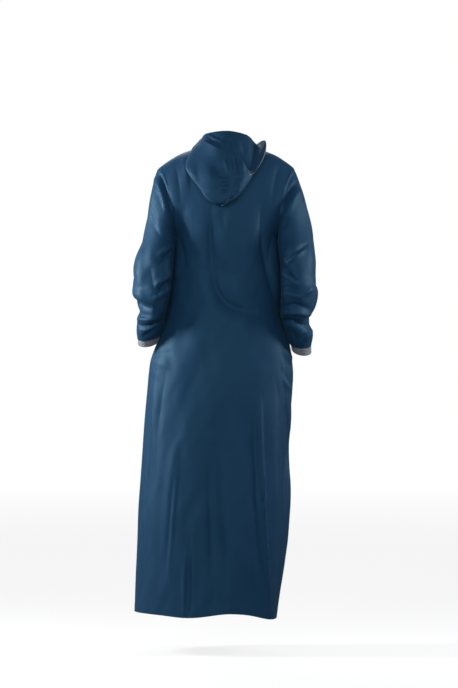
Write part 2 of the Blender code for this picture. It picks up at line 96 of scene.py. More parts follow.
# Powers that round the body's outline, its armholes, its shoulder and neck lines and its slits
BODY_ROUND = 0.85
YOKE_ROUND = 0.75
ARMHOLE_ROUND = 0.9
SHOULDER_ROUND = 1.8
NECK_ROUND = 1.5
POCKET_ROUND = 0.8
BACK_SQUARE = 0.17
BACK_SQUARE_Z = -0.33
BACK_SQUARE_REACH = 0.12

# Mesh counts, and the angle past which an edge is shaded sharp
YOKE_ROWS = 64
SHOULDER_COLUMNS = 50
NECK_COLUMNS = 60
ROWS_TO_POCKET = 56
ROWS_ALONG_POCKET = 30
ROWS_TO_HEM = 100
CROWN_ROWS = 44
SLEEVE_ROWS = 120
RING_POINTS = 128
BAND_ROWS = 14
HOOD_SECTIONS = 112
HOOD_COLUMNS = 150
SHARP_ANGLE = math.radians(60)

# How the panels' kinks are smoothed: turns, and the rows and columns over which it fades
SOFTEN_TURNS = 60
SOFTEN_ROWS = 14
SOFTEN_COLUMNS = 12

# The body's outline at each height: how far it reaches to the left and right, back and front
BODY = columns("z left right back front", [
    (-1.330, 0.268, 0.146, 0.166, 0.182),
    (-1.264, 0.266, 0.156, 0.163, 0.180),
    (-1.194, 0.263, 0.168, 0.160, 0.177),
    (-1.124, 0.260, 0.177, 0.157, 0.174),
    (-1.036, 0.257, 0.184, 0.154, 0.170),
    (-0.949, 0.251, 0.185, 0.150, 0.165),
    (-0.861, 0.245, 0.182, 0.146, 0.160),
    (-0.774, 0.239, 0.185, 0.142, 0.154),
    (-0.686, 0.231, 0.192, 0.138, 0.148),
    (-0.634, 0.226, 0.194, 0.135, 0.144),
    (-0.600, 0.221, 0.191, 0.132, 0.141),
    (-0.570, 0.211, 0.187, 0.129, 0.138),
    (-0.540, 0.199, 0.181, 0.126, 0.136),
    (-0.500, 0.186, 0.169, 0.120, 0.131),
    (-0.460, 0.180, 0.160, 0.114, 0.127),
    (-0.400, 0.173, 0.164, 0.108, 0.123),
    (-0.330, 0.163, 0.163, 0.106, 0.122),
    (-0.270, 0.154, 0.155, 0.110, 0.123),
    (-0.235, 0.149, 0.149, 0.113, 0.123),
])

# Hanging folds, as in the CAD part: a ridge where its height is above 0, a trough below it
FOLD_COLUMNS = "top bottom x_top x_bottom high_top high_bottom width"
BACK_FOLDS = columns(FOLD_COLUMNS, [
    (-0.62, -1.45, -0.090, -0.128, 0.004, 0.010, 0.017),
    (-0.60, -1.45, -0.166, -0.142, 0.003, 0.006, 0.016),
    (-0.70, -1.45, -0.045, -0.070, -0.002, -0.008, 0.024),
    (-0.70, -1.45, 0.030, 0.032, -0.005, -0.010, 0.026),
    (-0.74, -1.45, 0.124, 0.166, 0.004, 0.008, 0.020),
    (-0.95, -1.45, 0.080, 0.096, 0.003, 0.008, 0.018),
    (-0.66, -1.10, 0.164, 0.215, -0.005, -0.003, 0.018),
    (-0.60, -0.92, 0.190, 0.218, 0.005, 0.003, 0.016),
    (-0.17, -0.40, 0.026, 0.040, -0.004, -0.006, 0.018),
    (-0.12, -0.47, -0.082, -0.142, -0.004, -0.006, 0.016),
    (-0.14, -0.50, 0.078, 0.060, 0.005, 0.002, 0.024),
])
FRONT_FOLDS = columns(FOLD_COLUMNS, [
    (-0.60, -1.45, -0.125, -0.116, 0.004, 0.010, 0.018),
    (-0.66, -1.45, -0.070, -0.062, -0.004, -0.009, 0.020),
    (-0.72, -1.45, -0.018, -0.012, 0.003, 0.008, 0.018),
    (-0.58, -1.45, 0.042, 0.048, -0.005, -0.010, 0.024),
    (-0.70, -1.45, 0.098, 0.112, 0.004, 0.009, 0.018),
    (-0.62, -1.45, 0.140, 0.164, -0.004, -0.008, 0.020),
    (-0.64, -1.45, 0.186, 0.218, 0.003, 0.008, 0.018),
    (-0.24, -0.52, 0.066, 0.052, 0.005, 0.002, 0.020),
    (-0.22, -0.50, -0.072, -0.058, 0.005, 0.002, 0.020),
])
FOLD_FADE = 0.10
FOLD_SEAM_FADE = 0.35
FOLD_SIDEWAYS = 0.8

# Where the hem hangs below its level, alike on both panels, which meet at the side seams
HEM_DIPS = columns("x low wide", [
    (0.110, 0.009, 0.070),
    (-0.130, 0.020, 0.045),
    (0.0, -0.003, 0.030),
])

# Sleeves, a row for each ring from the armhole down: x and y place its middle, wide and deep are
# its half width and half depth, and roll is how much it slopes down outwards. Above TURN_FROM_Z the
# rings' backs turn towards the body.
SLEEVE_COLUMNS = "z x wide y deep roll"
SLEEVE_LEFT = columns(SLEEVE_COLUMNS, [
    (-0.262, 0.1995, 0.0490, 0.034, 0.064, 0.00),
    (-0.310, 0.2095, 0.0550, 0.054, 0.066, 0.00),
    (-0.345, 0.2130, 0.0550, 0.063, 0.067, 0.00),
    (-0.378, 0.2150, 0.0530, 0.066, 0.066, 0.00),
    (-0.410, 0.2185, 0.0520, 0.066, 0.064, 0.02),
    (-0.437, 0.2155, 0.0430, 0.058, 0.062, 0.03),
    (-0.460, 0.2140, 0.0370, 0.046, 0.060, 0.04),
    (-0.484, 0.2193, 0.0402, 0.036, 0.056, 0.05),
    (-0.504, 0.2226, 0.0399, 0.024, 0.053, 0.10),
    (-0.524, 0.2250, 0.0352, 0.010, 0.050, 0.17),
])
SLEEVE_RIGHT = columns(SLEEVE_COLUMNS, [
    (-0.262, 0.1995, 0.0500, 0.034, 0.064, 0.00),
    (-0.310, 0.2055, 0.0500, 0.054, 0.066, 0.00),
    (-0.360, 0.2090, 0.0500, 0.062, 0.067, 0.00),
    (-0.400, 0.2125, 0.0535, 0.068, 0.066, 0.02),
    (-0.430, 0.2105, 0.0520, 0.064, 0.065, 0.03),
    (-0.455, 0.2070, 0.0480, 0.054, 0.062, 0.05),
    (-0.475, 0.2020, 0.0420, 0.044, 0.060, 0.06),
    (-0.492, 0.2028, 0.0382, 0.038, 0.057, 0.08),
    (-0.514, 0.2115, 0.0400, 0.026, 0.055, 0.10),
    (-0.550, 0.2165, 0.0322, 0.002, 0.050, 0.14),
])
RING_LEAN = 0.5
RING_TURN = 0.20
TURN_FROM_Z = -0.515
TURN_FADE = 0.080
CROWN_OUTWARD_TOP = 0.36
CROWN_OUTWARD_UNDER = 0.15
CROWN_SLOPE = 0.90
CROWN_DOWN = 0.85

# Cuff band: a facing inside each sleeve's end that shows below its edge
BAND_SHOWN = 0.025
BAND_HIDDEN = 0.012
BAND_CLEARANCE = 0.0012
BAND_TAPER = 0.05

# The hood's halves, each a net of five sections. A section runs from the neck seam up the stand and
# over its roll, down the layer that lies on the back, round the side fold and up the outer layer to
# the middle seam. The first section is the face edge and the last the middle of the back. SEAM_TURNS
# places their first points round the neck, from the throat to the nape.
SEAM_TURNS = np.radians([-62, -20, 18, 55, 90])
MIDDLE_BACK = [
    (0.000, 0.064, 0.052), (-0.002, 0.073, 0.066), (-0.002, 0.083, 0.050), (0.004, 0.118, -0.060),
    (0.010, 0.127, -0.126), (0.013, 0.130, -0.145),
]
MIDDLE_SEAM = [
    (-0.012, 0.124, 0.001), (-0.015, 0.140, -0.045), (-0.017, 0.147, -0.088), (-0.003, 0.150, -0.142),
    (0.013, 0.138, -0.154),
]
HOOD_LEFT = [
    [(0.054, -0.072, -0.012), (0.072, -0.042, 0.024), (0.078, -0.004, 0.040), (0.074, 0.040, 0.044),
     (0.058, 0.088, 0.033), (0.030, 0.119, 0.015)],
    [(0.067, -0.026, 0.026), (0.076, -0.018, 0.032), (0.090, -0.004, 0.026), (0.100, 0.040, 0.016),
     (0.102, 0.084, -0.008), (0.046, 0.126, -0.034)],
    [(0.066, 0.018, 0.040), (0.070, 0.022, 0.050), (0.075, 0.034, 0.036), (0.112, 0.075, -0.026),
     (0.114, 0.104, -0.052), (0.054, 0.140, -0.078)],
    [(0.052, 0.046, 0.048), (0.055, 0.056, 0.060), (0.059, 0.068, 0.044), (0.074, 0.110, -0.062),
     (0.062, 0.130, -0.120), (0.037, 0.144, -0.143)],
]
HOOD_RIGHT = [
    [(-0.054, -0.070, -0.010), (-0.082, -0.030, 0.026), (-0.113, 0.022, 0.040), (-0.109, 0.074, -0.011),
     (-0.068, 0.119, -0.066), (-0.050, 0.132, -0.022)],
    [(-0.070, -0.030, 0.022), (-0.086, -0.004, 0.030), (-0.098, 0.030, 0.020), (-0.088, 0.080, -0.020),
     (-0.074, 0.106, -0.052), (-0.050, 0.135, -0.048)],
    [(-0.072, 0.014, 0.034), (-0.077, 0.022, 0.040), (-0.082, 0.036, 0.026), (-0.078, 0.084, -0.030),
     (-0.070, 0.116, -0.074), (-0.045, 0.143, -0.084)],
    [(-0.052, 0.046, 0.046), (-0.056, 0.056, 0.056), (-0.058, 0.068, 0.040), (-0.052, 0.110, -0.060),
     (-0.039, 0.129, -0.116), (-0.021, 0.146, -0.135)],
]
# The band inside the face edge: its sides lie at these shares of EDGE_STEP rows of the net from the
# edge, and along part of the right half's turned edge it stands proud
EDGE_STEP = 7
EDGE_BAND_THICK = 0.0007
EDGE_BAND_CLEARANCE = 0.0006
EDGE_BAND_NEAR = 0.12
EDGE_BAND_FAR = 0.70
EDGE_BAND_PROUD = 0.30
EDGE_BAND_SLIM = 0.08
EDGE_BAND_ROWS = 8
PROUD_FROM = 0.46
PROUD_TO = 0.72
PROUD_FADE = 0.08

# Creases of the body, the sleeves and the hood on each elevation
BODY_CREASES = {
    "back": creases([
        (0.039, -0.140, 0.047, -0.248, 0.036, -0.352, -0.0062, 0.014, 0.2),
        (0.062, -0.150, 0.072, -0.240, 0.066, -0.340, 0.0012, 0.022, 0.0),
        (0.037, -0.325, 0.008, -0.425, -0.092, -0.458, -0.0088, 0.011, 0.3),
        (0.012, -0.355, -0.030, -0.402, -0.084, -0.418, 0.0026, 0.020, 0.0),
        (0.040, -0.390, 0.012, -0.462, -0.070, -0.492, 0.0020, 0.018, 0.0),
        (0.016, -0.166, 0.010, -0.196, 0.003, -0.228, -0.0026, 0.007, 0.0),
        (-0.104, -0.140, -0.107, -0.285, -0.152, -0.460, -0.0080, 0.012, -0.3),
        (-0.078, -0.150, -0.084, -0.270, -0.120, -0.420, 0.0012, 0.020, 0.0),
        (-0.122, -0.290, -0.140, -0.350, -0.160, -0.400, 0.0026, 0.011, 0.0),
        (0.094, -0.110, 0.098, -0.230, 0.088, -0.360, 0.0012, 0.026, 0.0),
        (0.090, -0.440, 0.093, -0.495, 0.088, -0.560, 0.0022, 0.024, 0.0),
        (-0.040, -0.455, -0.060, -0.520, -0.064, -0.590, 0.0012, 0.024, 0.0),
        (0.152, -0.210, 0.128, -0.275, 0.118, -0.340, -0.0042, 0.008, 0.2),
        (-0.150, -0.210, -0.130, -0.262, -0.122, -0.325, -0.0042, 0.008, -0.2),
        (0.150, -0.030, 0.138, -0.085, 0.133, -0.155, -0.0032, 0.008, 0.2),
        (-0.155, -0.030, -0.140, -0.080, -0.132, -0.145, -0.0030, 0.008, -0.2),
        (0.125, -0.010, 0.117, -0.055, 0.112, -0.115, 0.0022, 0.010, 0.0),
        (0.112, -0.050, 0.106, -0.080, 0.104, -0.108, -0.0016, 0.005, 0.0),
        (0.148, -0.340, 0.150, -0.410, 0.160, -0.480, -0.0040, 0.010, 0.0),
        (-0.146, -0.420, -0.150, -0.480, -0.158, -0.540, -0.0035, 0.010, 0.0),
        (0.171, -0.620, 0.196, -0.780, 0.207, -1.020, -0.0055, 0.013, 0.3),
        (0.190, -0.600, 0.214, -0.720, 0.222, -0.900, 0.0030, 0.010, -0.2),
        (0.140, -0.820, 0.162, -0.975, 0.174, -1.170, 0.0055, 0.014, 0.2),
        (0.034, -0.830, 0.031, -1.040, 0.034, -1.330, -0.0060, 0.026, 0.2),
        (0.002, -0.950, -0.004, -1.120, -0.002, -1.345, 0.0035, 0.018, 0.0),
        (-0.097, -0.700, -0.104, -0.950, -0.127, -1.350, 0.0080, 0.008, 0.4),
        (-0.082, -0.760, -0.086, -0.960, -0.100, -1.300, -0.0035, 0.010, 0.2),
        (-0.156, -0.565, -0.185, -0.930, -0.141, -1.350, 0.0052, 0.008, -0.4),
        (-0.142, -0.640, -0.166, -0.930, -0.132, -1.240, -0.0055, 0.009, 0.0),
        (-0.200, -0.760, -0.205, -0.900, -0.198, -1.060, -0.0035, 0.010, 0.0),
        (0.118, -1.150, 0.121, -1.250, 0.122, -1.360, 0.0042, 0.006, 0.3),
        (0.104, -1.090, 0.108, -1.220, 0.108, -1.360, -0.0034, 0.006, 0.2),
        (0.076, -1.060, 0.083, -1.210, 0.086, -1.360, -0.0032, 0.011, 0.0),
        (0.140, -0.900, 0.151, -1.030, 0.166, -1.230, 0.0040, 0.005, 0.3),
        (0.150, -0.930, 0.162, -1.060, 0.178, -1.240, -0.0040, 0.006, 0.0),
        (-0.106, -0.860, -0.111, -1.060, -0.131, -1.340, 0.0042, 0.004, 0.4),
        (-0.100, -0.900, -0.104, -1.080, -0.122, -1.330, -0.0045, 0.005, 0.2),
        (-0.174, -0.700, -0.180, -0.960, -0.144, -1.320, 0.0034, 0.004, -0.4),
        (-0.168, -0.720, -0.176, -0.940, -0.138, -1.300, -0.0045, 0.005, 0.0),
        (0.052, -0.900, 0.046, -1.060, 0.044, -1.240, -0.0030, 0.006, 0.0),
        (-0.066, -0.900, -0.074, -1.080, -0.086, -1.300, 0.0026, 0.006, 0.0),
        (-0.198, -0.628, -0.178, -0.604, -0.160, -0.574, -0.0060, 0.006, 0.3),
        (-0.200, -0.606, -0.182, -0.586, -0.170, -0.566, 0.0045, 0.007, 0.0),
        (-0.194, -0.694, -0.178, -0.676, -0.172, -0.650, 0.0045, 0.006, 0.0),
        (-0.192, -0.668, -0.176, -0.650, -0.164, -0.622, -0.0045, 0.006, 0.0),
        (0.224, -0.577, 0.192, -0.580, 0.158, -0.573, -0.0032, 0.005, 0.3),
        (0.228, -0.596, 0.200, -0.604, 0.164, -0.612, 0.0014, 0.011, 0.0),
        (0.226, -0.640, 0.206, -0.660, 0.190, -0.700, -0.0022, 0.011, 0.0),
    ]),
    "front": creases([
        (0.148, -0.205, 0.118, -0.250, 0.096, -0.320, -0.0032, 0.010, 0.2),
        (-0.148, -0.205, -0.120, -0.245, -0.100, -0.310, -0.0032, 0.010, -0.2),
        (0.158, -0.060, 0.138, -0.110, 0.126, -0.180, -0.0026, 0.010, 0.2),
        (-0.156, -0.055, -0.140, -0.105, -0.130, -0.170, -0.0024, 0.010, -0.2),
        (0.060, -0.090, 0.074, -0.180, 0.070, -0.300, 0.0026, 0.018, 0.0),
        (-0.062, -0.085, -0.070, -0.170, -0.074, -0.285, 0.0026, 0.018, 0.0),
        (0.014, -0.250, 0.030, -0.330, 0.034, -0.440, -0.0028, 0.016, 0.2),
        (-0.030, -0.300, -0.020, -0.400, -0.040, -0.500, -0.0026, 0.016, 0.0),
        (0.150, -0.520, 0.126, -0.570, 0.096, -0.640, -0.0030, 0.012, 0.2),
        (-0.150, -0.520, -0.126, -0.560, -0.090, -0.615, -0.0030, 0.012, -0.2),
        (0.170, -0.600, 0.150, -0.650, 0.128, -0.720, 0.0028, 0.012, 0.0),
        (-0.166, -0.600, -0.150, -0.640, -0.124, -0.700, 0.0028, 0.012, 0.0),
        (0.042, -0.700, 0.046, -0.980, 0.052, -1.330, -0.0040, 0.024, 0.2),
        (0.078, -0.820, 0.084, -1.060, 0.088, -1.345, 0.0040, 0.011, 0.3),
        (-0.016, -0.760, -0.014, -1.000, -0.010, -1.345, 0.0042, 0.012, -0.3),
        (-0.064, -0.720, -0.066, -0.980, -0.058, -1.330, -0.0038, 0.018, 0.0),
        (-0.120, -0.680, -0.126, -0.960, -0.112, -1.350, 0.0042, 0.010, 0.3),
        (0.134, -0.760, 0.148, -1.020, 0.158, -1.345, -0.0040, 0.014, 0.0),
        (0.190, -0.700, 0.206, -0.960, 0.214, -1.350, 0.0040, 0.012, 0.2),
        (-0.160, -0.760, -0.158, -0.980, -0.140, -1.300, -0.0034, 0.011, 0.0),
    ]),
    "left": creases([
        (0.055, -0.640, 0.062, -0.900, 0.074, -1.340, -0.0040, 0.016, 0.0),
        (-0.060, -0.660, -0.070, -0.940, -0.080, -1.340, -0.0040, 0.016, 0.0),
        (0.095, -0.700, 0.100, -0.980, 0.110, -1.345, 0.0036, 0.014, 0.0),
        (-0.100, -0.720, -0.110, -1.000, -0.124, -1.345, 0.0036, 0.014, 0.0),
    ]),
    "right": creases([
        (0.050, -0.660, 0.052, -0.900, 0.040, -1.330, -0.0036, 0.015, 0.0),
        (-0.056, -0.650, -0.066, -0.920, -0.060, -1.335, -0.0040, 0.016, 0.0),
        (0.090, -0.700, 0.096, -0.960, 0.086, -1.340, 0.0032, 0.013, 0.0),
        (-0.104, -0.710, -0.112, -0.980, -0.108, -1.340, 0.0034, 0.014, 0.0),
    ]),
}
SLEEVE_LEFT_CREASES = {
    "back": creases([
        (0.203, -0.050, 0.182, -0.090, 0.157, -0.176, -0.0055, 0.006, 0.3),
        (0.213, -0.060, 0.193, -0.105, 0.171, -0.190, 0.0040, 0.010, 0.0),
        (0.213, -0.084, 0.196, -0.128, 0.182, -0.168, -0.0045, 0.007, 0.3),
        (0.228, -0.150, 0.212, -0.205, 0.186, -0.245, -0.0030, 0.009, 0.3),
        (0.247, -0.260, 0.250, -0.330, 0.250, -0.385, 0.0045, 0.014, 0.0),
        (0.156, -0.266, 0.176, -0.281, 0.200, -0.299, 0.0045, 0.008, 0.0),
        (0.158, -0.283, 0.178, -0.300, 0.199, -0.322, -0.0070, 0.006, 0.3),
        (0.219, -0.326, 0.216, -0.362, 0.204, -0.400, -0.0045, 0.015, 0.0),
        (0.156, -0.346, 0.180, -0.365, 0.208, -0.388, 0.0050, 0.009, 0.0),
        (0.154, -0.364, 0.180, -0.386, 0.204, -0.410, -0.0085, 0.006, 0.3),
        (0.160, -0.386, 0.184, -0.405, 0.210, -0.427, 0.0045, 0.008, 0.0),
        (0.272, -0.420, 0.250, -0.441, 0.214, -0.452, -0.0080, 0.008, 0.2),
        (0.260, -0.400, 0.238, -0.424, 0.204, -0.440, 0.0035, 0.010, 0.0),
        (0.260, -0.480, 0.224, -0.481, 0.188, -0.474, 0.0055, 0.008, 0.0),
        (0.254, -0.495, 0.222, -0.499, 0.190, -0.490, -0.0080, 0.005, 0.2),
        (0.250, -0.511, 0.226, -0.510, 0.198, -0.498, 0.0035, 0.005, 0.0),
        (0.244, -0.528, 0.222, -0.521, 0.200, -0.502, -0.0055, 0.005, 0.0),
    ]),
    "front": creases([
        (0.206, -0.070, 0.194, -0.130, 0.180, -0.190, -0.0045, 0.008, -0.3),
        (0.218, -0.110, 0.204, -0.170, 0.186, -0.232, -0.0032, 0.009, -0.3),
        (0.170, -0.284, 0.206, -0.306, 0.246, -0.312, -0.0075, 0.007, 0.0),
        (0.172, -0.304, 0.204, -0.326, 0.248, -0.332, 0.0055, 0.009, 0.0),
        (0.168, -0.328, 0.200, -0.346, 0.236, -0.350, -0.0060, 0.006, 0.0),
        (0.170, -0.352, 0.204, -0.366, 0.250, -0.364, 0.0055, 0.009, 0.0),
        (0.168, -0.374, 0.204, -0.388, 0.252, -0.382, -0.0085, 0.007, 0.2),
        (0.172, -0.404, 0.206, -0.420, 0.250, -0.416, 0.0055, 0.010, 0.0),
        (0.176, -0.440, 0.212, -0.452, 0.250, -0.446, -0.0070, 0.007, 0.0),
        (0.186, -0.486, 0.214, -0.496, 0.248, -0.492, -0.0055, 0.006, 0.0),
    ]),
    "left": creases([
        (0.044, -0.080, 0.030, -0.160, 0.020, -0.250, 0.0030, 0.014, 0.0),
        (-0.020, -0.120, -0.010, -0.200, 0.010, -0.280, -0.0030, 0.012, 0.0),
        (-0.010, -0.320, 0.030, -0.352, 0.080, -0.360, -0.0030, 0.010, 0.0),
        (0.000, -0.402, 0.040, -0.424, 0.100, -0.432, -0.0045, 0.009, 0.2),
        (-0.020, -0.455, 0.020, -0.468, 0.080, -0.478, 0.0030, 0.009, 0.0),
    ]),
}
SLEEVE_RIGHT_CREASES = {
    "back": creases([
        (-0.208, -0.078, -0.180, -0.118, -0.160, -0.176, -0.0065, 0.006, -0.3),
        (-0.216, -0.096, -0.190, -0.138, -0.170, -0.192, 0.0045, 0.010, 0.0),
        (-0.200, -0.052, -0.180, -0.088, -0.168, -0.130, -0.0035, 0.007, -0.3),
        (-0.157, -0.216, -0.170, -0.204, -0.184, -0.186, -0.0055, 0.006, 0.0),
        (-0.234, -0.160, -0.240, -0.260, -0.242, -0.350, 0.0040, 0.013, 0.0),
        (-0.234, -0.260, -0.206, -0.284, -0.174, -0.305, -0.0050, 0.006, -0.2),
        (-0.228, -0.275, -0.200, -0.299, -0.170, -0.322, 0.0050, 0.006, 0.0),
        (-0.156, -0.326, -0.180, -0.344, -0.203, -0.368, -0.0080, 0.006, -0.3),
        (-0.158, -0.345, -0.182, -0.362, -0.206, -0.386, 0.0045, 0.007, 0.0),
        (-0.160, -0.385, -0.190, -0.393, -0.218, -0.405, -0.0065, 0.007, 0.0),
        (-0.160, -0.403, -0.190, -0.410, -0.224, -0.419, 0.0040, 0.008, 0.0),
        (-0.250, -0.384, -0.236, -0.400, -0.214, -0.408, 0.0035, 0.009, 0.0),
        (-0.154, -0.448, -0.195, -0.440, -0.244, -0.453, -0.0065, 0.007, 0.0),
        (-0.152, -0.466, -0.198, -0.462, -0.254, -0.474, 0.0065, 0.008, 0.0),
        (-0.148, -0.479, -0.190, -0.490, -0.242, -0.502, -0.0100, 0.006, -0.2),
        (-0.176, -0.503, -0.190, -0.522, -0.207, -0.548, -0.0050, 0.006, 0.0),
        (-0.250, -0.508, -0.241, -0.522, -0.233, -0.546, 0.0045, 0.008, 0.0),
        (-0.238, -0.520, -0.222, -0.532, -0.212, -0.546, -0.0040, 0.006, 0.0),
    ]),
    "front": creases([
        (-0.206, -0.070, -0.194, -0.130, -0.180, -0.190, -0.0045, 0.008, 0.3),
        (-0.218, -0.120, -0.206, -0.176, -0.188, -0.236, -0.0032, 0.009, 0.3),
        (-0.170, -0.290, -0.206, -0.310, -0.244, -0.320, -0.0075, 0.007, 0.0),
        (-0.168, -0.312, -0.204, -0.332, -0.246, -0.340, 0.0055, 0.009, 0.0),
        (-0.170, -0.336, -0.200, -0.350, -0.236, -0.356, -0.0060, 0.006, 0.0),
        (-0.168, -0.362, -0.204, -0.376, -0.248, -0.378, 0.0055, 0.009, 0.0),
        (-0.166, -0.384, -0.204, -0.398, -0.250, -0.398, -0.0085, 0.007, 0.0),
        (-0.170, -0.414, -0.204, -0.428, -0.246, -0.430, 0.0055, 0.010, 0.0),
        (-0.170, -0.458, -0.206, -0.468, -0.242, -0.468, -0.0075, 0.007, 0.0),
        (-0.178, -0.500, -0.206, -0.510, -0.238, -0.510, -0.0055, 0.006, 0.0),
    ]),
    "right": creases([
        (0.046, -0.080, 0.034, -0.160, 0.024, -0.250, 0.0030, 0.014, 0.0),
        (-0.020, -0.120, -0.012, -0.200, 0.008, -0.280, -0.0030, 0.012, 0.0),
        (0.000, -0.340, 0.040, -0.372, 0.090, -0.384, -0.0030, 0.010, 0.0),
        (0.000, -0.448, 0.040, -0.470, 0.090, -0.484, -0.0060, 0.009, 0.0),
    ]),
}
# The hood's outer layer starts at this share of the way from the neck seam, over this width
OUTER_LAYER = 0.66
OUTER_FADE = 0.08
HOOD_CREASES = {
    "back": creases([
        (0.124, -0.028, 0.116, -0.055, 0.108, -0.085, -0.0030, 0.006, 0.0),
        (0.112, -0.030, 0.104, -0.062, 0.092, -0.092, 0.0024, 0.010, 0.0),
        (0.090, -0.104, 0.058, -0.126, 0.026, -0.150, 0.0030, 0.007, 0.3),
        (0.009, -0.146, -0.010, -0.134, -0.032, -0.112, -0.0060, 0.004, 0.3),
        (0.000, -0.152, -0.018, -0.142, -0.038, -0.122, 0.0030, 0.004, 0.0),
        (0.002, -0.132, -0.010, -0.126, -0.026, -0.110, 0.0028, 0.004, 0.0),
        (-0.008, -0.010, -0.016, -0.026, -0.017, -0.050, -0.0032, 0.004, 0.0),
        (-0.018, -0.008, -0.024, -0.026, -0.026, -0.052, 0.0028, 0.004, 0.0),
        (-0.030, -0.014, -0.034, -0.040, -0.034, -0.062, -0.0032, 0.004, 0.0),
        (-0.042, -0.016, -0.046, -0.036, -0.046, -0.056, 0.0024, 0.004, 0.0),
        (0.006, -0.020, 0.000, -0.040, -0.003, -0.058, 0.0018, 0.005, 0.0),
        (-0.012, -0.066, 0.002, -0.069, 0.020, -0.066, -0.0026, 0.004, 0.0),
        (-0.010, -0.078, 0.006, -0.080, 0.026, -0.076, 0.0022, 0.004, 0.0),
        (-0.010, -0.090, 0.004, -0.092, 0.022, -0.089, -0.0028, 0.004, 0.0),
        (-0.008, -0.102, 0.004, -0.104, 0.020, -0.102, 0.0024, 0.004, 0.0),
        (-0.006, -0.113, 0.004, -0.115, 0.018, -0.115, -0.0028, 0.004, 0.0),
        (-0.044, -0.072, -0.034, -0.075, -0.022, -0.074, -0.0022, 0.004, 0.0),
        (-0.042, -0.090, -0.034, -0.092, -0.022, -0.092, 0.0022, 0.004, 0.0),
        (0.064, -0.014, 0.050, -0.056, 0.026, -0.104, 0.0030, 0.018, 0.0),
        (0.034, -0.030, 0.026, -0.054, 0.010, -0.080, -0.0022, 0.013, 0.0),
        (0.090, -0.030, 0.084, -0.060, 0.070, -0.090, -0.0020, 0.012, 0.0),
    ]),
}
STAND_CREASES = {
    "back": creases([
        (0.052, 0.060, 0.034, 0.050, 0.012, 0.040, -0.0032, 0.005, 0.0),
        (0.054, 0.055, 0.029, 0.041, 0.002, 0.022, 0.0032, 0.005, 0.0),
        (0.058, 0.050, 0.036, 0.035, 0.012, 0.016, -0.0030, 0.004, 0.0),
        (0.062, 0.046, 0.043, 0.031, 0.022, 0.012, 0.0026, 0.005, 0.0),
        (-0.012, 0.046, -0.014, 0.028, -0.015, 0.008, -0.0030, 0.007, 0.0),
        (-0.026, 0.044, -0.033, 0.022, -0.040, 0.000, 0.0028, 0.008, 0.0),
        (-0.044, 0.036, -0.050, 0.016, -0.054, -0.006, -0.0028, 0.006, 0.0),
    ]),
}

# How creases are drawn: the sleeves' taller than in their tables, each over a few rows and columns
# from a piece's edges, on cloth that faces its elevation, tapering towards its ends, and with a
# trough's bottom sharper than a ridge's crest by a share of its width
SLEEVE_CREASES_SHOWN = 1.45
CREASE_FADE = 5
PANEL_CREASE_FADE = 6
FACING_SHARE = 0.22
CREASE_POINTS = 17
CREASE_REACH = 3.5
CREASE_TAPER = 0.7
TROUGH_FLOOR = 0.18

# Slow, shallow unevenness of hanging cloth: waves across and down, their depth and their start. They
# slant round the body and wander as they go down.
RIPPLE_SLANT = 0.7
RIPPLE_WANDER = 0.35
RIPPLES = columns("across down high start", [
    (0.190, 0.610, 0.0009, 0.3),
    (0.113, 0.430, 0.0007, 2.1),
    (0.071, 0.270, 0.0004, 4.4),
    (0.047, 0.160, 0.0002, 1.2),
])

# Stitching: its size, its rise as a share of the cloth's thickness, how far it runs from the hem and
# the cuffs' edges, and the hood's rows and columns from its edges
STITCH = 0.0028
STITCH_PITCH = 0.0040
STITCH_THICK = 0.00035
STITCH_RISE = 0.55
HEM_TURN = 0.022
HEM_EDGE = 0.002
CUFF_TURN = 0.010
HOOD_STITCH_STEPS = 3


def ease(t):
    """A smooth step from 0 to 1."""
    t = np.clip(t, 0, 1)
    return t * t * (3 - 2 * t)


def curve(knots, values, at):
    """A smooth cubic through values (on the first axis) at rising knots, read at the given places."""
    knots, values = np.asarray(knots, float), np.asarray(values, float)
    at = np.clip(np.asarray(at, float), knots[0], knots[-1])
    slope = np.gradient(values, knots, axis=0)
    i = np.clip(np.searchsorted(knots, at) - 1, 0, len(knots) - 2)
    span = knots[i + 1] - knots[i]
    t = (at - knots[i]) / span
    extra = (1,) * (values.ndim - 1)
    t, span = t.reshape(t.shape + extra), span.reshape(span.shape + extra)
    start = values[i] * (1 + 2 * t) * (1 - t) ** 2 + slope[i] * span * t * (1 - t) ** 2
    return start + values[i + 1] * t**2 * (3 - 2 * t) + slope[i + 1] * span * t**2 * (t - 1)


def through(table, name, at):
    """A smooth curve through one column of a table, read at heights."""
    order = np.argsort(table["z"])
    return curve(table["z"][order], table[name][order], at)


def unit(vectors):
    """The vectors at length 1."""
    return vectors / np.maximum(np.linalg.norm(vectors, axis=-1, keepdims=True), 1e-12)


def fold_height(folds, x, z):
    """How far the hanging folds lift the cloth at places across and heights."""
    total = np.zeros(np.broadcast(x, z).shape)
    for top, bottom, x_top, x_bottom, high_top, high_bottom, width in zip(*folds.values()):
        down = np.clip((top - z) / (top - bottom), 0, 1)
        crest = x_top + (x_bottom - x_top) * down
        high = high_top + (high_bottom - high_top) * down
        shown = ease((top - z) / FOLD_FADE) * ease((z - bottom) / FOLD_FADE)
        total += high * shown * np.exp(-(((x - crest) / width) ** 2))
    return total


def hem_drop(x):
    """How far the hem hangs below its level."""
    return sum(low * np.exp(-(((x - at) / wide) ** 2)) for at, low, wide in zip(*HEM_DIPS.values()))


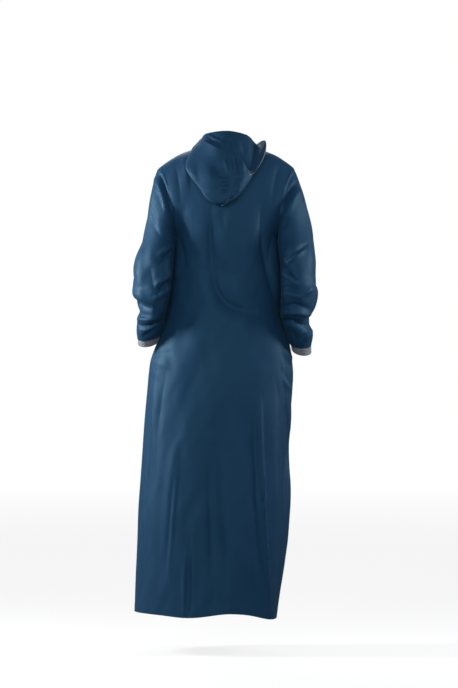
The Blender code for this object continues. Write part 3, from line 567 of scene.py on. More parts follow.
def armhole(turn):
    """The left armhole seam: turn is 0 at the shoulder, a quarter at the back, half at the armpit."""
    up, back = np.cos(turn), np.sin(turn)
    middle = (SHOULDER_TIP_Z + ARMPIT_Z) / 2
    z = middle + (SHOULDER_TIP_Z - middle) * up
    x = ARMPIT_HALF + (SHOULDER_HALF - ARMPIT_HALF) * ((1 + up) / 2) ** 2
    y = np.where(back > 0, ARMHOLE_BACK, ARMHOLE_FRONT) * np.sign(back) * np.abs(back) ** ARMHOLE_ROUND
    y = np.where(np.abs(back) < 1e-9, 0.0, y)
    return np.stack([x, y, z], axis=-1)


def column_angles():
    """Angles of a panel's columns from the left seam to the right, with the neck's points among them."""
    share = NECK_HALF / SHOULDER_HALF
    neck = np.arccos(share * np.cos(np.linspace(0, math.pi, NECK_COLUMNS + 1)))
    side = np.linspace(0, neck[0], SHOULDER_COLUMNS + 1)[:-1]
    return np.concatenate([side, neck, math.pi - side[::-1]])


def neck_line(inward, back):
    """(y, z) of the neck seam; inward is 0 beside the neck and 1 at its middle."""
    depth, low = (NAPE_DEPTH, NAPE_Z) if back else (-THROAT_DEPTH, THROAT_Z)
    return depth * inward, NECK_POINT_Z + (low - NECK_POINT_Z) * inward**NECK_ROUND


def top_edge(across, back):
    """(y, z) of the shoulder seams and the neck, for places across from -1 to 1."""
    x = np.abs(across) * SHOULDER_HALF
    slope = np.clip((SHOULDER_HALF - x) / (SHOULDER_HALF - NECK_HALF), 0, 1)
    shoulder_z = NECK_POINT_Z - (NECK_POINT_Z - SHOULDER_TIP_Z) * (1 - slope) ** SHOULDER_ROUND
    neck_y, neck_z = neck_line(np.sqrt(np.clip(1 - (x / NECK_HALF) ** 2, 0, 1)), back)
    in_neck = x < NECK_HALF
    return np.where(in_neck, neck_y, 0.0), np.where(in_neck, neck_z, shoulder_z)


def round_power(z, back):
    """The power that rounds the body at a height, squarer behind the upper arms."""
    near = np.exp(-(((z - BACK_SQUARE_Z) / BACK_SQUARE_REACH) ** 2)) if back else 0.0
    return BODY_ROUND - BACK_SQUARE * near


def yoke(angle, rise, back):
    """Points between the armpits (rise 0) and the shoulder seams and neck (rise 1)."""
    across = np.cos(angle)
    power = round_power(ARMPIT_Z + (SHOULDER_TIP_Z - ARMPIT_Z) * rise, back)
    side, outward = np.abs(across), np.abs(np.sin(angle)) ** power
    edge = armhole(math.pi * (1 - rise) if back else math.pi * (1 + rise))
    top_y, top_z = top_edge(across, back)
    sign = 1 if back else -1
    depth = sign * through(BODY, "back" if back else "front", ARMPIT_Z)
    middle_lift = math.sin(rise * math.pi / 2) ** BODY_ROUND
    side_lift = (edge[2] - ARMPIT_Z) / (SHOULDER_TIP_Z - ARMPIT_Z)
    lift = middle_lift + (side_lift - middle_lift) * side**3
    turned = math.cos(rise * math.pi / 2) ** YOKE_ROUND if rise < 1 else 0.0
    x = edge[0] * across
    y = edge[1] * (1 - outward) + depth * outward * turned + top_y * (1 - turned)
    z = ARMPIT_Z + (top_z - ARMPIT_Z) * lift
    folds = fold_height(BACK_FOLDS if back else FRONT_FOLDS, x, z)
    y = y + sign * folds * (1 - side**4) * (1 - rise**2)
    return np.stack([x, y, z], axis=-1)


def pocket_gape(z):
    """How far the pocket slit's edges stand from the side seam's line."""
    along = np.clip((POCKET_TOP_Z - z) / (POCKET_TOP_Z - POCKET_BOTTOM_Z), 0, 1)
    return POCKET_GAPE * math.sin(math.pi * along) ** POCKET_ROUND if 0 < along < 1 else 0.0


def skirt(angle, z, back):
    """Points below the armpits at one height, the lower ones dipping a little towards the hem."""
    left, right = through(BODY, "left", z), through(BODY, "right", z)
    depth = through(BODY, "back" if back else "front", z)
    across, outward = np.cos(angle), np.abs(np.sin(angle))
    sign = 1 if back else -1
    x = (left - right) / 2 + (left + right) / 2 * across
    y = sign * depth * outward ** round_power(z, back)
    lift = fold_height(BACK_FOLDS if back else FRONT_FOLDS, x, z) * ease(outward / FOLD_SEAM_FADE)
    x = x + lift * across * FOLD_SIDEWAYS
    y = y + sign * lift * outward
    y = y + sign * pocket_gape(z) * np.exp(-((outward / POCKET_NEAR) ** 2))
    low = ease((ARMPIT_Z - z) / (ARMPIT_Z - HEM_Z)) ** 3
    return np.stack([x, y, z - hem_drop(x) * low], axis=-1)


def panel_heights():
    """Heights of the rows below the armpits, hem first."""
    parts = [
        np.linspace(HEM_Z, POCKET_BOTTOM_Z, ROWS_TO_HEM + 1)[:-1],
        np.linspace(POCKET_BOTTOM_Z, POCKET_TOP_Z, ROWS_ALONG_POCKET + 1)[:-1],
        np.linspace(POCKET_TOP_Z, ARMPIT_Z, ROWS_TO_POCKET + 1)[:-1],
    ]
    return np.concatenate(parts)


def panel(back):
    """A body panel's grid, hem to shoulder, from the left side seam round to the right."""
    angles = column_angles()
    low = [skirt(angles, z, back) for z in panel_heights()]
    high = [yoke(angles, rise, back) for rise in np.linspace(0, 1, YOKE_ROWS + 1)]
    return np.array(low + high)


def sleeve_rings(table, side):
    """The sleeve's rings below its crown, and the arm's line at each."""
    z = np.linspace(table["z"].max(), table["z"].min(), SLEEVE_ROWS + 1)
    centre = np.stack([through(table, "x", z), through(table, "y", z), z], axis=-1)
    line = np.gradient(centre, z, axis=0) * -1
    out = np.stack([np.ones_like(z), 0 * z, -through(table, "roll", z)], axis=-1)
    turn = RING_TURN * ease((z - TURN_FROM_Z) / TURN_FADE)
    back = np.stack([-turn, np.ones_like(z), RING_LEAN * line[:, 1]], axis=-1)
    out *= through(table, "wide", z)[:, None]
    back *= through(table, "deep", z)[:, None]
    turns = np.arange(RING_POINTS) * 2 * math.pi / RING_POINTS
    cos, sin = np.cos(turns)[None, :, None], np.sin(turns)[None, :, None]
    rings = centre[:, None] + out[:, None] * cos + back[:, None] * sin
    flip = np.array([side, 1, 1])
    return rings * flip, centre * flip, unit(line) * flip


def crown(first_ring, next_ring, side):
    """Rings that carry the armhole seam round into the sleeve's first ring, in line with its next."""
    turns = np.arange(RING_POINTS) * 2 * math.pi / RING_POINTS
    under = ((1 - np.cos(turns)) / 2)[:, None]
    seam = armhole(turns)
    seam[:, 0:1] += SLEEVE_GAP + UNDERARM_GAP * under
    seam *= [side, 1, 1]
    reach = np.linalg.norm(first_ring - seam, axis=1, keepdims=True)
    outward = CROWN_OUTWARD_TOP + (CROWN_OUTWARD_UNDER - CROWN_OUTWARD_TOP) * under
    start = outward * reach * [side, 0, -CROWN_SLOPE]
    end = CROWN_DOWN * reach * unit(next_ring - first_ring)
    rings = []
    for t in np.linspace(0, 1, CROWN_ROWS + 1)[:-1]:
        near = seam * (1 + 2 * t) * (1 - t) ** 2 + start * t * (1 - t) ** 2
        rings.append(near + first_ring * t**2 * (3 - 2 * t) + end * t**2 * (t - 1))
    return np.array(rings)


def sleeve(table, side):
    """A sleeve's rings, from the armhole to its open end."""
    rings, _, _ = sleeve_rings(table, side)
    return np.concatenate([crown(rings[0], rings[1], side), rings])


def cuff_band(table, side):
    """Rings of the facing inside a sleeve's end, from inside it to below its edge."""
    rings, centre, line = sleeve_rings(table, side)
    last, middle, along = rings[-1], centre[-1], line[-1]
    outward = last - middle
    far = np.linalg.norm(outward, axis=1, keepdims=True)
    inner = outward * (1 - (CLOTH + BAND_CLEARANCE) / far)
    steps = np.linspace(-BAND_HIDDEN, BAND_SHOWN, BAND_ROWS + 1)
    return np.array([middle + along * s + inner * (1 - BAND_TAPER * max(s, 0) / BAND_SHOWN) for s in steps])


def seam_point(turn, side):
    """A point of the hood's neck seam, just above and within the panels' edge."""
    y, z = neck_line(abs(math.sin(turn)), turn > 0)
    inset = 1 - HOOD_SEAM_INSET / NECK_HALF
    return (side * NECK_HALF * math.cos(turn) * inset, y * inset, z + HOOD_SEAM_RISE)


def hood_nets():
    """The hood halves' grids, left then right, each with a row for each section from its face edge to
    the middle of the back, smooth across the middle."""
    rows = []
    for sections, side in ((HOOD_LEFT, 1), (HOOD_RIGHT, -1)):
        for turn, stations, middle in zip(SEAM_TURNS, sections + [MIDDLE_BACK], MIDDLE_SEAM):
            points = np.array([seam_point(turn, side)] + stations + [middle])
            steps = np.linalg.norm(np.diff(points, axis=0), axis=1) ** 0.5
            knots = np.concatenate([[0], np.cumsum(steps)])
            rows.append(curve(knots, points, np.linspace(0, knots[-1], HOOD_COLUMNS + 1)))
    count = len(SEAM_TURNS)
    rows = rows[:count] + rows[count : 2 * count - 1][::-1]
    whole = curve(np.arange(len(rows)), rows, np.linspace(0, len(rows) - 1, 2 * HOOD_SECTIONS + 1))
    return whole[: HOOD_SECTIONS + 1], whole[HOOD_SECTIONS:][::-1]


def grid_normals(grid, wrap=False):
    """Unit normals of a grid, across its columns and then along its rows."""
    if wrap:
        across = np.roll(grid, -1, axis=1) - np.roll(grid, 1, axis=1)
    else:
        across = np.gradient(grid, axis=1)
    return unit(np.cross(across, np.gradient(grid, axis=0)))


def crease_height(places, table):
    """How far drawn creases lift the cloth at places (across, height) on one elevation."""
    flat = places.reshape(-1, 2)
    total = np.zeros(len(flat))
    t = np.linspace(0, 1, CREASE_POINTS)[:, None]
    for a1, z1, a2, z2, a3, z3, high, wide, lean in zip(*table.values()):
        first, last = np.array([a1, z1]), np.array([a3, z3])
        pull = 2 * np.array([a2, z2]) - (first + last) / 2
        line = first * (1 - t) ** 2 + 2 * pull * t * (1 - t) + last * t**2
        low, up = line.min(axis=0) - CREASE_REACH * wide, line.max(axis=0) + CREASE_REACH * wide
        near = np.flatnonzero(((flat > low) & (flat < up)).all(axis=1))
        if not len(near):
            continue
        start, step = line[:-1], np.diff(line, axis=0)
        from_start = flat[near][:, None] - start
        along = np.clip((from_start * step).sum(axis=2) / (step**2).sum(axis=1), 0, 1)
        apart = from_start - along[..., None] * step
        reach = np.linalg.norm(apart, axis=2)
        best = reach.argmin(axis=1)
        pick = np.arange(len(near))
        share = (best + along[pick, best]) / len(step)
        gap, run = apart[pick, best], step[best]
        left = np.sign(run[:, 0] * gap[:, 1] - run[:, 1] * gap[:, 0])
        slope = wide * (1 + lean * left)
        taper = np.sin(math.pi * np.clip(share, 0, 1)) ** CREASE_TAPER
        away = reach[pick, best] / slope
        if high < 0:
            away = np.sqrt(np.sqrt(away**2 + TROUGH_FLOOR**2) - TROUGH_FLOOR)
        total[near] += high * taper * np.exp(-(away**2))
    return total.reshape(places.shape[:-1])


ELEVATIONS = {"back": (0, 1, 1), "front": (0, 1, -1), "left": (1, 0, 1), "right": (1, 0, -1)}


def creased(grid, normals, tables, shown):
    """The grid with its drawn creases, each table on the cloth that faces its elevation."""
    total = np.zeros(grid.shape[:2])
    for name, table in tables.items():
        across, axis, sign = ELEVATIONS[name]
        facing = ease(normals[..., axis] * sign / FACING_SHARE)
        total += crease_height(grid[..., [across, 2]], table) * facing
    return grid + normals * (total * shown)[..., None]


def rippled(grid, normals, shown):
    """The grid with the slow unevenness of hanging cloth."""
    around = grid[..., 0] - RIPPLE_SLANT * grid[..., 1]
    total = np.zeros(grid.shape[:2])
    for across, down, high, start in zip(*RIPPLES.values()):
        phase = around / across + RIPPLE_WANDER * np.sin(grid[..., 2] / down * 2 * math.pi + start)
        total += high * np.sin(2 * math.pi * phase + start + grid[..., 2] / down)
    return grid + normals * (total * shown)[..., None]


def edge_fade(count, reach):
    """0 at both ends of a row of places and 1 from a few places in."""
    return ease(np.minimum(np.arange(count), np.arange(count)[::-1]) / reach)


def inward_share(grid, tube=False):
    """0 on a grid's seams and 1 a little way in, so that they stay where they are. A tube has a free
    end and no sides."""
    rows, count = grid.shape[:2]
    if tube:
        return ease(np.arange(rows) / CREASE_FADE)[:, None] * np.ones((1, count))
    return edge_fade(rows, CREASE_FADE)[:, None] * edge_fade(count, CREASE_FADE)


def rolled(grid, normals, axis, end):
    """The grid with an edge drawn in by a seam's roll and turned under as its seam allowance."""
    lines, facing = np.moveaxis(grid, axis, 0), np.moveaxis(normals, axis, 0)
    if end == 0:
        lines, facing = lines[::-1], facing[::-1]
    edge, under = lines[-1], facing[-1]
    out = unit(edge - lines[-2])
    start = edge - out * SEAM_ROLL
    turn = math.pi / 4
    bend = start + out * SEAM_ROLL * math.sin(turn) - under * SEAM_ROLL * (1 - math.cos(turn))
    down = start + out * SEAM_ROLL - under * SEAM_ROLL
    deep = down - under * SEAM_ALLOWANCE
    lines = np.concatenate([lines[:-1], np.array([start, bend, down, deep])])
    if end == 0:
        lines = lines[::-1]
    return np.moveaxis(lines, 0, axis)


def grain(grid, wrap=False):
    """Cloth coordinates in metres: across from the middle and along from the first row."""
    across = np.linalg.norm(np.diff(grid, axis=1), axis=2)
    across = np.concatenate([np.zeros((len(grid), 1)), np.cumsum(across, axis=1)], axis=1)
    if not wrap:
        across = across - across[:, across.shape[1] // 2 : across.shape[1] // 2 + 1]
    along = np.linalg.norm(np.diff(grid, axis=0), axis=2)
    along = np.concatenate([np.zeros((1, grid.shape[1])), np.cumsum(along, axis=0)])
    return np.stack([across, along], axis=-1)


def face_corners(table):
    """The four corners of each face of a table of point numbers."""
    return np.stack([table[:-1, :-1], table[:-1, 1:], table[1:, 1:], table[1:, :-1]], axis=-1).reshape(-1, 4)


def sides(quads):
    """The sides of all faces as pairs of point numbers."""
    return np.concatenate([np.stack([quads[:, i], quads[:, (i + 1) % 4]], axis=1) for i in range(4)])


def cloth_shell(name, grid, thick, finish, wrap=False, flip=False):
    """A thin closed shell round a grid, its cloth coordinates kept as a UV map."""
    rows, count = grid.shape[:2]
    normals = grid_normals(grid, wrap)
    thick = np.broadcast_to(thick, (rows, count))[..., None]
    skins = np.concatenate([grid + normals * thick / 2, grid - normals * thick / 2]).reshape(-1, 3)
    index = np.arange(rows * count).reshape(rows, count)
    coords = grain(grid, wrap)
    if wrap:
        index = np.concatenate([index, index[:, :1]], axis=1)
        lap = np.linalg.norm(grid[:, 0] - grid[:, -1], axis=1)[:, None]
        closing = np.stack([coords[:, -1:, 0] + lap, coords[:, :1, 1]], axis=-1)
        coords = np.concatenate([coords, closing], axis=1)
    place = np.arange(coords.shape[0] * coords.shape[1]).reshape(coords.shape[:2])
    quads, spots = face_corners(index), face_corners(place)
    total = rows * count
    edges, ends = sides(quads), sides(spots)
    keys = edges[:, 0] * total + edges[:, 1]
    alone = ~np.isin(keys, edges[:, 1] * total + edges[:, 0])
    a, b = edges[alone].T
    p, q = ends[alone].T
    rims = np.stack([b, a, a + total, b + total], axis=1)
    faces = np.concatenate([quads, quads[:, ::-1] + total, rims])
    spots = np.concatenate([spots, spots[:, ::-1], np.stack([q, p, p, q], axis=1)])
    if flip:
        faces, spots = faces[:, ::-1], spots[:, ::-1]
    return mesh_object(name, skins, faces, coords.reshape(-1, 2)[spots.reshape(-1)], finish)


def add_object(name, data):
    """An object for data, placed in the scene."""
    made = bpy.data.objects.new(name, data)
    bpy.context.scene.collection.objects.link(made)
    return made


def mesh_object(name, points, faces, coords, finish):
    """A smooth mesh object from arrays, with unused points left out."""
    used = np.unique(faces)
    renumber = np.zeros(len(points), int)
    renumber[used] = np.arange(len(used))
    faces, points = renumber[faces], points[used]
    mesh = bpy.data.meshes.new(name)
    mesh.vertices.add(len(points))
    mesh.vertices.foreach_set("co", points.astype(np.float32).ravel())
    mesh.loops.add(faces.size)
    mesh.loops.foreach_set("vertex_index", faces.astype(np.int32).ravel())
    mesh.polygons.add(len(faces))
    mesh.polygons.foreach_set("loop_start", (np.arange(len(faces)) * faces.shape[1]).astype(np.int32))
    mesh.update(calc_edges=True)
    if coords is not None:
        layer = mesh.uv_layers.new(name="cloth")
        layer.uv.foreach_set("vector", coords.astype(np.float32).ravel())
    mesh.shade_smooth()
    mesh.set_sharp_from_angle(angle=SHARP_ANGLE)
    mesh.materials.append(finish)
    return add_object(name, mesh)


def stitch_points(path, facing):
    """Spindle-shaped stitches along a path that lies on cloth: points and faces."""
    steps = np.linalg.norm(np.diff(path, axis=0), axis=1)
    far = np.concatenate([[0], np.cumsum(steps)])
    starts = np.arange(STITCH_PITCH, far[-1] - STITCH_PITCH, STITCH_PITCH)

    def at(where, values):
        return np.stack([np.interp(where, far, values[:, k]) for k in range(3)], axis=-1)

    first, last = at(starts, path), at(starts + STITCH, path)
    up = unit(at(starts + STITCH / 2, facing))
    side = unit(np.cross(last - first, up)) * STITCH_THICK
    middle = (first + last) / 2
    rise = up * STITCH_THICK
    points = np.stack([first, middle + side, middle + rise, middle - side, middle - rise / 2, last], axis=1)
    base = [(0, k, k % 4 + 1) for k in range(1, 5)] + [(5, k % 4 + 1, k) for k in range(1, 5)]
    faces = np.array(base)[None] + 6 * np.arange(len(starts))[:, None, None]
    return points.reshape(-1, 3), faces.reshape(-1, 3)


def stitching(name, runs, finish):
    """One piece of stitches along several (path, facing) runs."""
    points, faces, count = [], [], 0
    for path, facing in runs:
        some, sides = stitch_points(path + unit(facing) * CLOTH * STITCH_RISE, facing)
        points.append(some)
        faces.append(sides + count)
        count += len(some)
    return mesh_object(name, np.concatenate(points), np.concatenate(faces), None, finish)


def node(tree, kind, place, **inputs):
    """A shader node with its settings and inputs by name; an input may be a value or a socket."""
    made = tree.nodes.new(kind)
    made.location = place
    for key, value in inputs.items():
        name = key.replace("_", " ")
        if hasattr(made, key):
            setattr(made, key, value)
        elif isinstance(value, bpy.types.NodeSocket):
            tree.links.new(value, made.inputs[name])
        else:
            made.inputs[name].default_value = value
    return made


def new_material(name):
    """A node material, its node tree and its shader."""
    made = bpy.data.materials.new(name)
    made.use_nodes = True
    return made, made.node_tree, made.node_tree.nodes["Principled BSDF"]


def mix_colours(tree, place, share, first, second):
    """A colour between two, by a socket's value."""
    made = tree.nodes.new("ShaderNodeMix")
    made.data_type = "RGBA"
    made.location = place
    tree.links.new(share, made.inputs["Factor"])
    for name, value in (("A", first), ("B", second)):
        socket = [s for s in made.inputs if s.name == name and s.type == "RGBA"][0]
        if isinstance(value, bpy.types.NodeSocket):
            tree.links.new(value, socket)
        else:
            socket.default_value = (*value, 1)
    return [s for s in made.outputs if s.type == "RGBA"][0]


# Colours, sheen and repeats of the cloth
ROBE_DEEP = (0.0040, 0.0160, 0.0390)
ROBE_LIGHT = (0.0050, 0.0196, 0.0465)
ROBE_WARP = (0.0078, 0.0270, 0.0580)
ROBE_SHEEN_TINT = (0.26, 0.72, 0.95)
BAND_LIGHT = (0.190, 0.208, 0.230)
BAND_DARK = (0.022, 0.027, 0.036)
BAND_MIDDLE = (0.085, 0.095, 0.108)
BAND_MOTTLE = 0.3
BAND_STRIPE = 0.0056
BAND_THREADS = 0.0012
THREAD = (0.007, 0.025, 0.052)
THREAD_LIGHT = tuple(1.5 * c for c in THREAD)
TWILL_PERIOD = 0.0011
WAVE_TURN = 2 * math.pi / 20


def robe_cloth(name):
    """Petrol blue twill with a soft satin sheen."""
    made, tree, shader = new_material(name)
    cloth = node(tree, "ShaderNodeUVMap", (-1400, 0), uv_map="cloth")
    twill_map = node(tree, "ShaderNodeMapping", (-1200, 100), Vector=cloth.outputs[0])
    twill_map.inputs["Rotation"].default_value = (0, 0, math.radians(63))
    twill = node(
        tree, "ShaderNodeTexWave", (-1000, 100), Vector=twill_map.outputs[0],
        Scale=WAVE_TURN / TWILL_PERIOD, Distortion=0.6, Detail=1.0,
    )
    slub_map = node(tree, "ShaderNodeMapping", (-1200, -200), Vector=cloth.outputs[0])
    slub_map.inputs["Scale"].default_value = (900, 60, 1)
    slub = node(tree, "ShaderNodeTexNoise", (-1000, -200), Vector=slub_map.outputs[0], Scale=1.0, Detail=3.0)
    place = node(tree, "ShaderNodeTexCoord", (-1400, -500))
    cloud = node(
        tree, "ShaderNodeTexNoise", (-1000, -500), Vector=place.outputs["Object"],
        Scale=7.0, Detail=3.0, Roughness=0.55,
    )
    crinkle_map = node(tree, "ShaderNodeMapping", (-1200, -750), Vector=place.outputs["Object"])
    crinkle_map.inputs["Scale"].default_value = (1, 1, 0.45)
    crinkle = node(
        tree, "ShaderNodeTexNoise", (-1000, -750), Vector=crinkle_map.outputs[0],
        Scale=34.0, Detail=4.0, Roughness=0.5,
    )
    ground = mix_colours(tree, (-700, 0), cloud.outputs[0], ROBE_DEEP, ROBE_LIGHT)
    share = node(tree, "ShaderNodeMath", (-700, 200), operation="MULTIPLY")
    tree.links.new(twill.outputs["Fac"], share.inputs[0])
    tree.links.new(slub.outputs[0], share.inputs[1])
    weave = mix_colours(tree, (-450, 100), share.outputs[0], ground, ROBE_WARP)
    tree.links.new(weave, shader.inputs["Base Color"])
    rough = node(tree, "ShaderNodeMapRange", (-450, -150), Value=slub.outputs[0])
    rough.inputs["To Min"].default_value = 0.50
    rough.inputs["To Max"].default_value = 0.62
    tree.links.new(rough.outputs[0], shader.inputs["Roughness"])
    shader.inputs["Specular IOR Level"].default_value = 0.15
    shader.inputs["Specular Tint"].default_value = (*ROBE_SHEEN_TINT, 1)
    shader.inputs["Sheen Weight"].default_value = 0.04
    shader.inputs["Sheen Roughness"].default_value = 0.45
    shader.inputs["Sheen Tint"].default_value = (*ROBE_SHEEN_TINT, 1)
    soft = node(
        tree, "ShaderNodeBump", (-450, -400), Height=crinkle.outputs[0],
        Strength=0.35, Distance=0.0016,
    )
    threads = node(
        tree, "ShaderNodeBump", (-220, -400), Height=share.outputs[0], Normal=soft.outputs[0],
        Strength=0.5, Distance=0.00018,
    )
    tree.links.new(threads.outputs[0], shader.inputs["Normal"])
    return made


def band_cloth(name):
    """Silver grey cloth with fine stripes that run along the band."""
    made, tree, shader = new_material(name)
    cloth = node(tree, "ShaderNodeUVMap", (-1200, 0), uv_map="cloth")
    stripes = node(
        tree, "ShaderNodeTexWave", (-900, 100), Vector=cloth.outputs[0],
        bands_direction="Y", Scale=WAVE_TURN / BAND_STRIPE, Distortion=0.25, Detail=1.0,
    )
    threads = node(
        tree, "ShaderNodeTexWave", (-900, -150), Vector=cloth.outputs[0],
        bands_direction="X", Scale=WAVE_TURN / BAND_THREADS, Distortion=0.4, Detail=1.0,
    )
    mottle = node(tree, "ShaderNodeTexNoise", (-900, -400), Vector=cloth.outputs[0], Scale=260.0, Detail=3.0)
    sharp = node(tree, "ShaderNodeMapRange", (-650, 100), Value=stripes.outputs["Fac"])
    sharp.inputs["From Min"].default_value = 0.25
    sharp.inputs["From Max"].default_value = 0.75
    ground = mix_colours(tree, (-450, 100), sharp.outputs[0], BAND_DARK, BAND_LIGHT)
    faint = node(tree, "ShaderNodeMath", (-450, -250), operation="MULTIPLY")
    tree.links.new(mottle.outputs[0], faint.inputs[0])
    faint.inputs[1].default_value = BAND_MOTTLE
    speck = mix_colours(tree, (-250, 100), faint.outputs[0], ground, BAND_MIDDLE)
    tree.links.new(speck, shader.inputs["Base Color"])
    shader.inputs["Roughness"].default_value = 0.62
    shader.inputs["Specular IOR Level"].default_value = 0.4
    shader.inputs["Sheen Weight"].default_value = 0.10
    bump = node(
        tree, "ShaderNodeBump", (-250, -300), Height=threads.outputs["Fac"],
        Strength=0.4, Distance=0.0002,
    )
    tree.links.new(bump.outputs[0], shader.inputs["Normal"])
    return made


def thread_finish(name):
    """Dull thread, a little lighter than the robe's cloth."""
    made, tree, shader = new_material(name)
    place = node(tree, "ShaderNodeTexCoord", (-700, 0))
    twist = node(tree, "ShaderNodeTexNoise", (-500, 0), Vector=place.outputs["Object"], Scale=900.0)
    colour = mix_colours(tree, (-250, 0), twist.outputs[0], THREAD, THREAD_LIGHT)
    tree.links.new(colour, shader.inputs["Base Color"])
    shader.inputs["Roughness"].default_value = 0.8
    shader.inputs["Specular IOR Level"].default_value = 0.1
    return made


def carry(piece, slot, *nodes):
    """Ride a piece on the robe and let it stand for its CAD nodes."""
    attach(piece, "root")
    if nodes:
        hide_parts(*nodes)


def softened(grid):
    """The grid with the kinks below the neck's corners and at the armpits' height smoothed away."""
    smooth = grid.copy()
    for _ in range(SOFTEN_TURNS):
        smooth[:, 1:-1] = (smooth[:, :-2] + 2 * smooth[:, 1:-1] + smooth[:, 2:]) / 4
    inner = edge_fade(grid.shape[1], SOFTEN_COLUMNS)[None, :, None]
    below = ease(np.arange(len(grid))[::-1] / SOFTEN_ROWS)[:, None, None]
    grid = grid + (smooth - grid) * below * inner
    smooth = grid.copy()
    for _ in range(SOFTEN_TURNS):
        smooth[1:-1] = (smooth[:-2] + 2 * smooth[1:-1] + smooth[2:]) / 4
    armpit_row = len(grid) - 1 - YOKE_ROWS
    near = ease(2 - np.abs(np.arange(len(grid)) - armpit_row) / SOFTEN_ROWS)[:, None, None]
    return grid + (smooth - grid) * near * inner


def creased_panel(back):
    """A panel's grid with its creases."""
    grid = softened(panel(back))
    if not back:
        grid = grid[:, ::-1]
    share = edge_fade(grid.shape[1], PANEL_CREASE_FADE)[None, :]
    share = share * ease(np.arange(len(grid))[::-1] / PANEL_CREASE_FADE)[:, None]
    normals = grid_normals(grid)
    return rippled(creased(grid, normals, BODY_CREASES, share), normals, share)


def body_panels(cloth, runs):
    """The back and front panels, with hems, seam allowances and the throat slit."""
    for name, back in (("back_panel", True), ("front_panel", False)):
        grid = creased_panel(back)
        heights = grid[:, :, 2] - grid[0, :, 2]
        row = int(np.argmin(np.abs(heights[:, grid.shape[1] // 2] - HEM_TURN)))
        runs.append((grid[row], grid_normals(grid)[row]))
        pieces = [(name + "_cloth", grid)] if back else slit_halves(name, grid)
        for piece_name, part in pieces:
            part = rolled(part, grid_normals(part), 0, -1)
            if back or piece_name.endswith("left"):
                part = rolled(part, grid_normals(part), 1, 0 if back else -1)
            if back or piece_name.endswith("right"):
                part = rolled(part, grid_normals(part), 1, -1 if back else 0)
            high = part[:, :, 2] - part[0, :, 2]
            thick = CLOTH + (HEM_CLOTH - CLOTH) * (1 - ease((high - HEM_TURN) / HEM_EDGE))
            carry(cloth_shell(piece_name, part, thick, cloth), "robe_cloth", name)


def slit_halves(name, grid):
    """The front panel's two sides, parted above the armpits by the throat slit."""
    rows, count = grid.shape[:2]
    middle, first = count // 2, rows - 1 - YOKE_ROWS
    part = THROAT_SLIT_HALF * np.clip((np.arange(rows) - first) / YOKE_ROWS, 0, 1)
    halves = []
    for side, half in (("right", grid[:, : middle + 1].copy()), ("left", grid[:, middle:].copy())):
        sign = np.sign(half[:, :, 0].mean())
        near = np.clip(1 - np.abs(half[:, :, 0]) / THROAT_SLIT_REACH, 0, 1)
        half[:, :, 0] += sign * part[:, None] * near
        halves.append((name + "_" + side, half))
    return halves


def sleeves(cloth, band, runs):
    """The sleeves and their cuff bands."""
    for name, table, side, drawn in (
        ("left", SLEEVE_LEFT, 1, SLEEVE_LEFT_CREASES),
        ("right", SLEEVE_RIGHT, -1, SLEEVE_RIGHT_CREASES),
    ):
        grid = sleeve(table, side)
        share = inward_share(grid, tube=True) * SLEEVE_CREASES_SHOWN
        normals = -side * grid_normals(grid, wrap=True)
        grid = rippled(creased(grid, normals, drawn, share), normals, share)
        normals = -side * grid_normals(grid, wrap=True)
        along = np.linalg.norm(grid[-1] - grid, axis=2).min(axis=1)
        row = int(np.argmin(np.abs(along - CUFF_TURN)))
        ring = [*range(RING_POINTS), 0]
        runs.append((grid[row][ring], normals[row][ring]))
        grid = rolled(grid, normals, 0, 0)
        made = cloth_shell("sleeve_" + name + "_cloth", grid, CLOTH, cloth, wrap=True, flip=side > 0)
        carry(made, "robe_cloth", "sleeve_" + name)
        grid = cuff_band(table, side)
        made = cloth_shell("cuff_" + name + "_cloth", grid, BAND_CLOTH, band, wrap=True, flip=side > 0)
        carry(made, "band_cloth", "cuff_band_" + name)


def along_rows(net, place):
    """The net read between its rows, and a little beyond its first one."""
    first = int(np.clip(math.floor(place), 0, len(net) - 2))
    return net[first] + (net[first + 1] - net[first]) * (place - first)


def edge_band(nets, facings, band):
    """The band inside the hood's face edge, from the left half's neck seam round to the right's."""
    along = np.linspace(0, 1, HOOD_COLUMNS + 1)
    proud = ease((along - PROUD_FROM) / PROUD_FADE) * ease((PROUD_TO - along) / PROUD_FADE)
    turned = ease((PROUD_TO - along) / PROUD_FADE)
    rows = []
    for share in np.linspace(EDGE_BAND_NEAR, EDGE_BAND_FAR, EDGE_BAND_ROWS + 1):
        left, right = (along_rows(net, share * EDGE_STEP) for net in nets)
        slim = EDGE_BAND_NEAR + (share - EDGE_BAND_NEAR) * EDGE_BAND_SLIM
        tucked = along_rows(nets[1], slim * EDGE_STEP)
        out = along_rows(nets[1], (share - EDGE_BAND_PROUD) * EDGE_STEP)
        right = tucked + (right - tucked) * (1 - turned)[:, None]
        right = right + (out - right) * proud[:, None]
        depth = CLOTH / 2 + EDGE_BAND_CLEARANCE + EDGE_BAND_THICK / 2
        left = left - facings[0][0] * depth
        right = right - facings[1][0] * depth
        rows.append(np.concatenate([left, right[-2::-1]]))
    made = cloth_shell("hood_edge_cloth", np.array(rows), EDGE_BAND_THICK, band)
    carry(made, "band_cloth", "hood_edge_band")


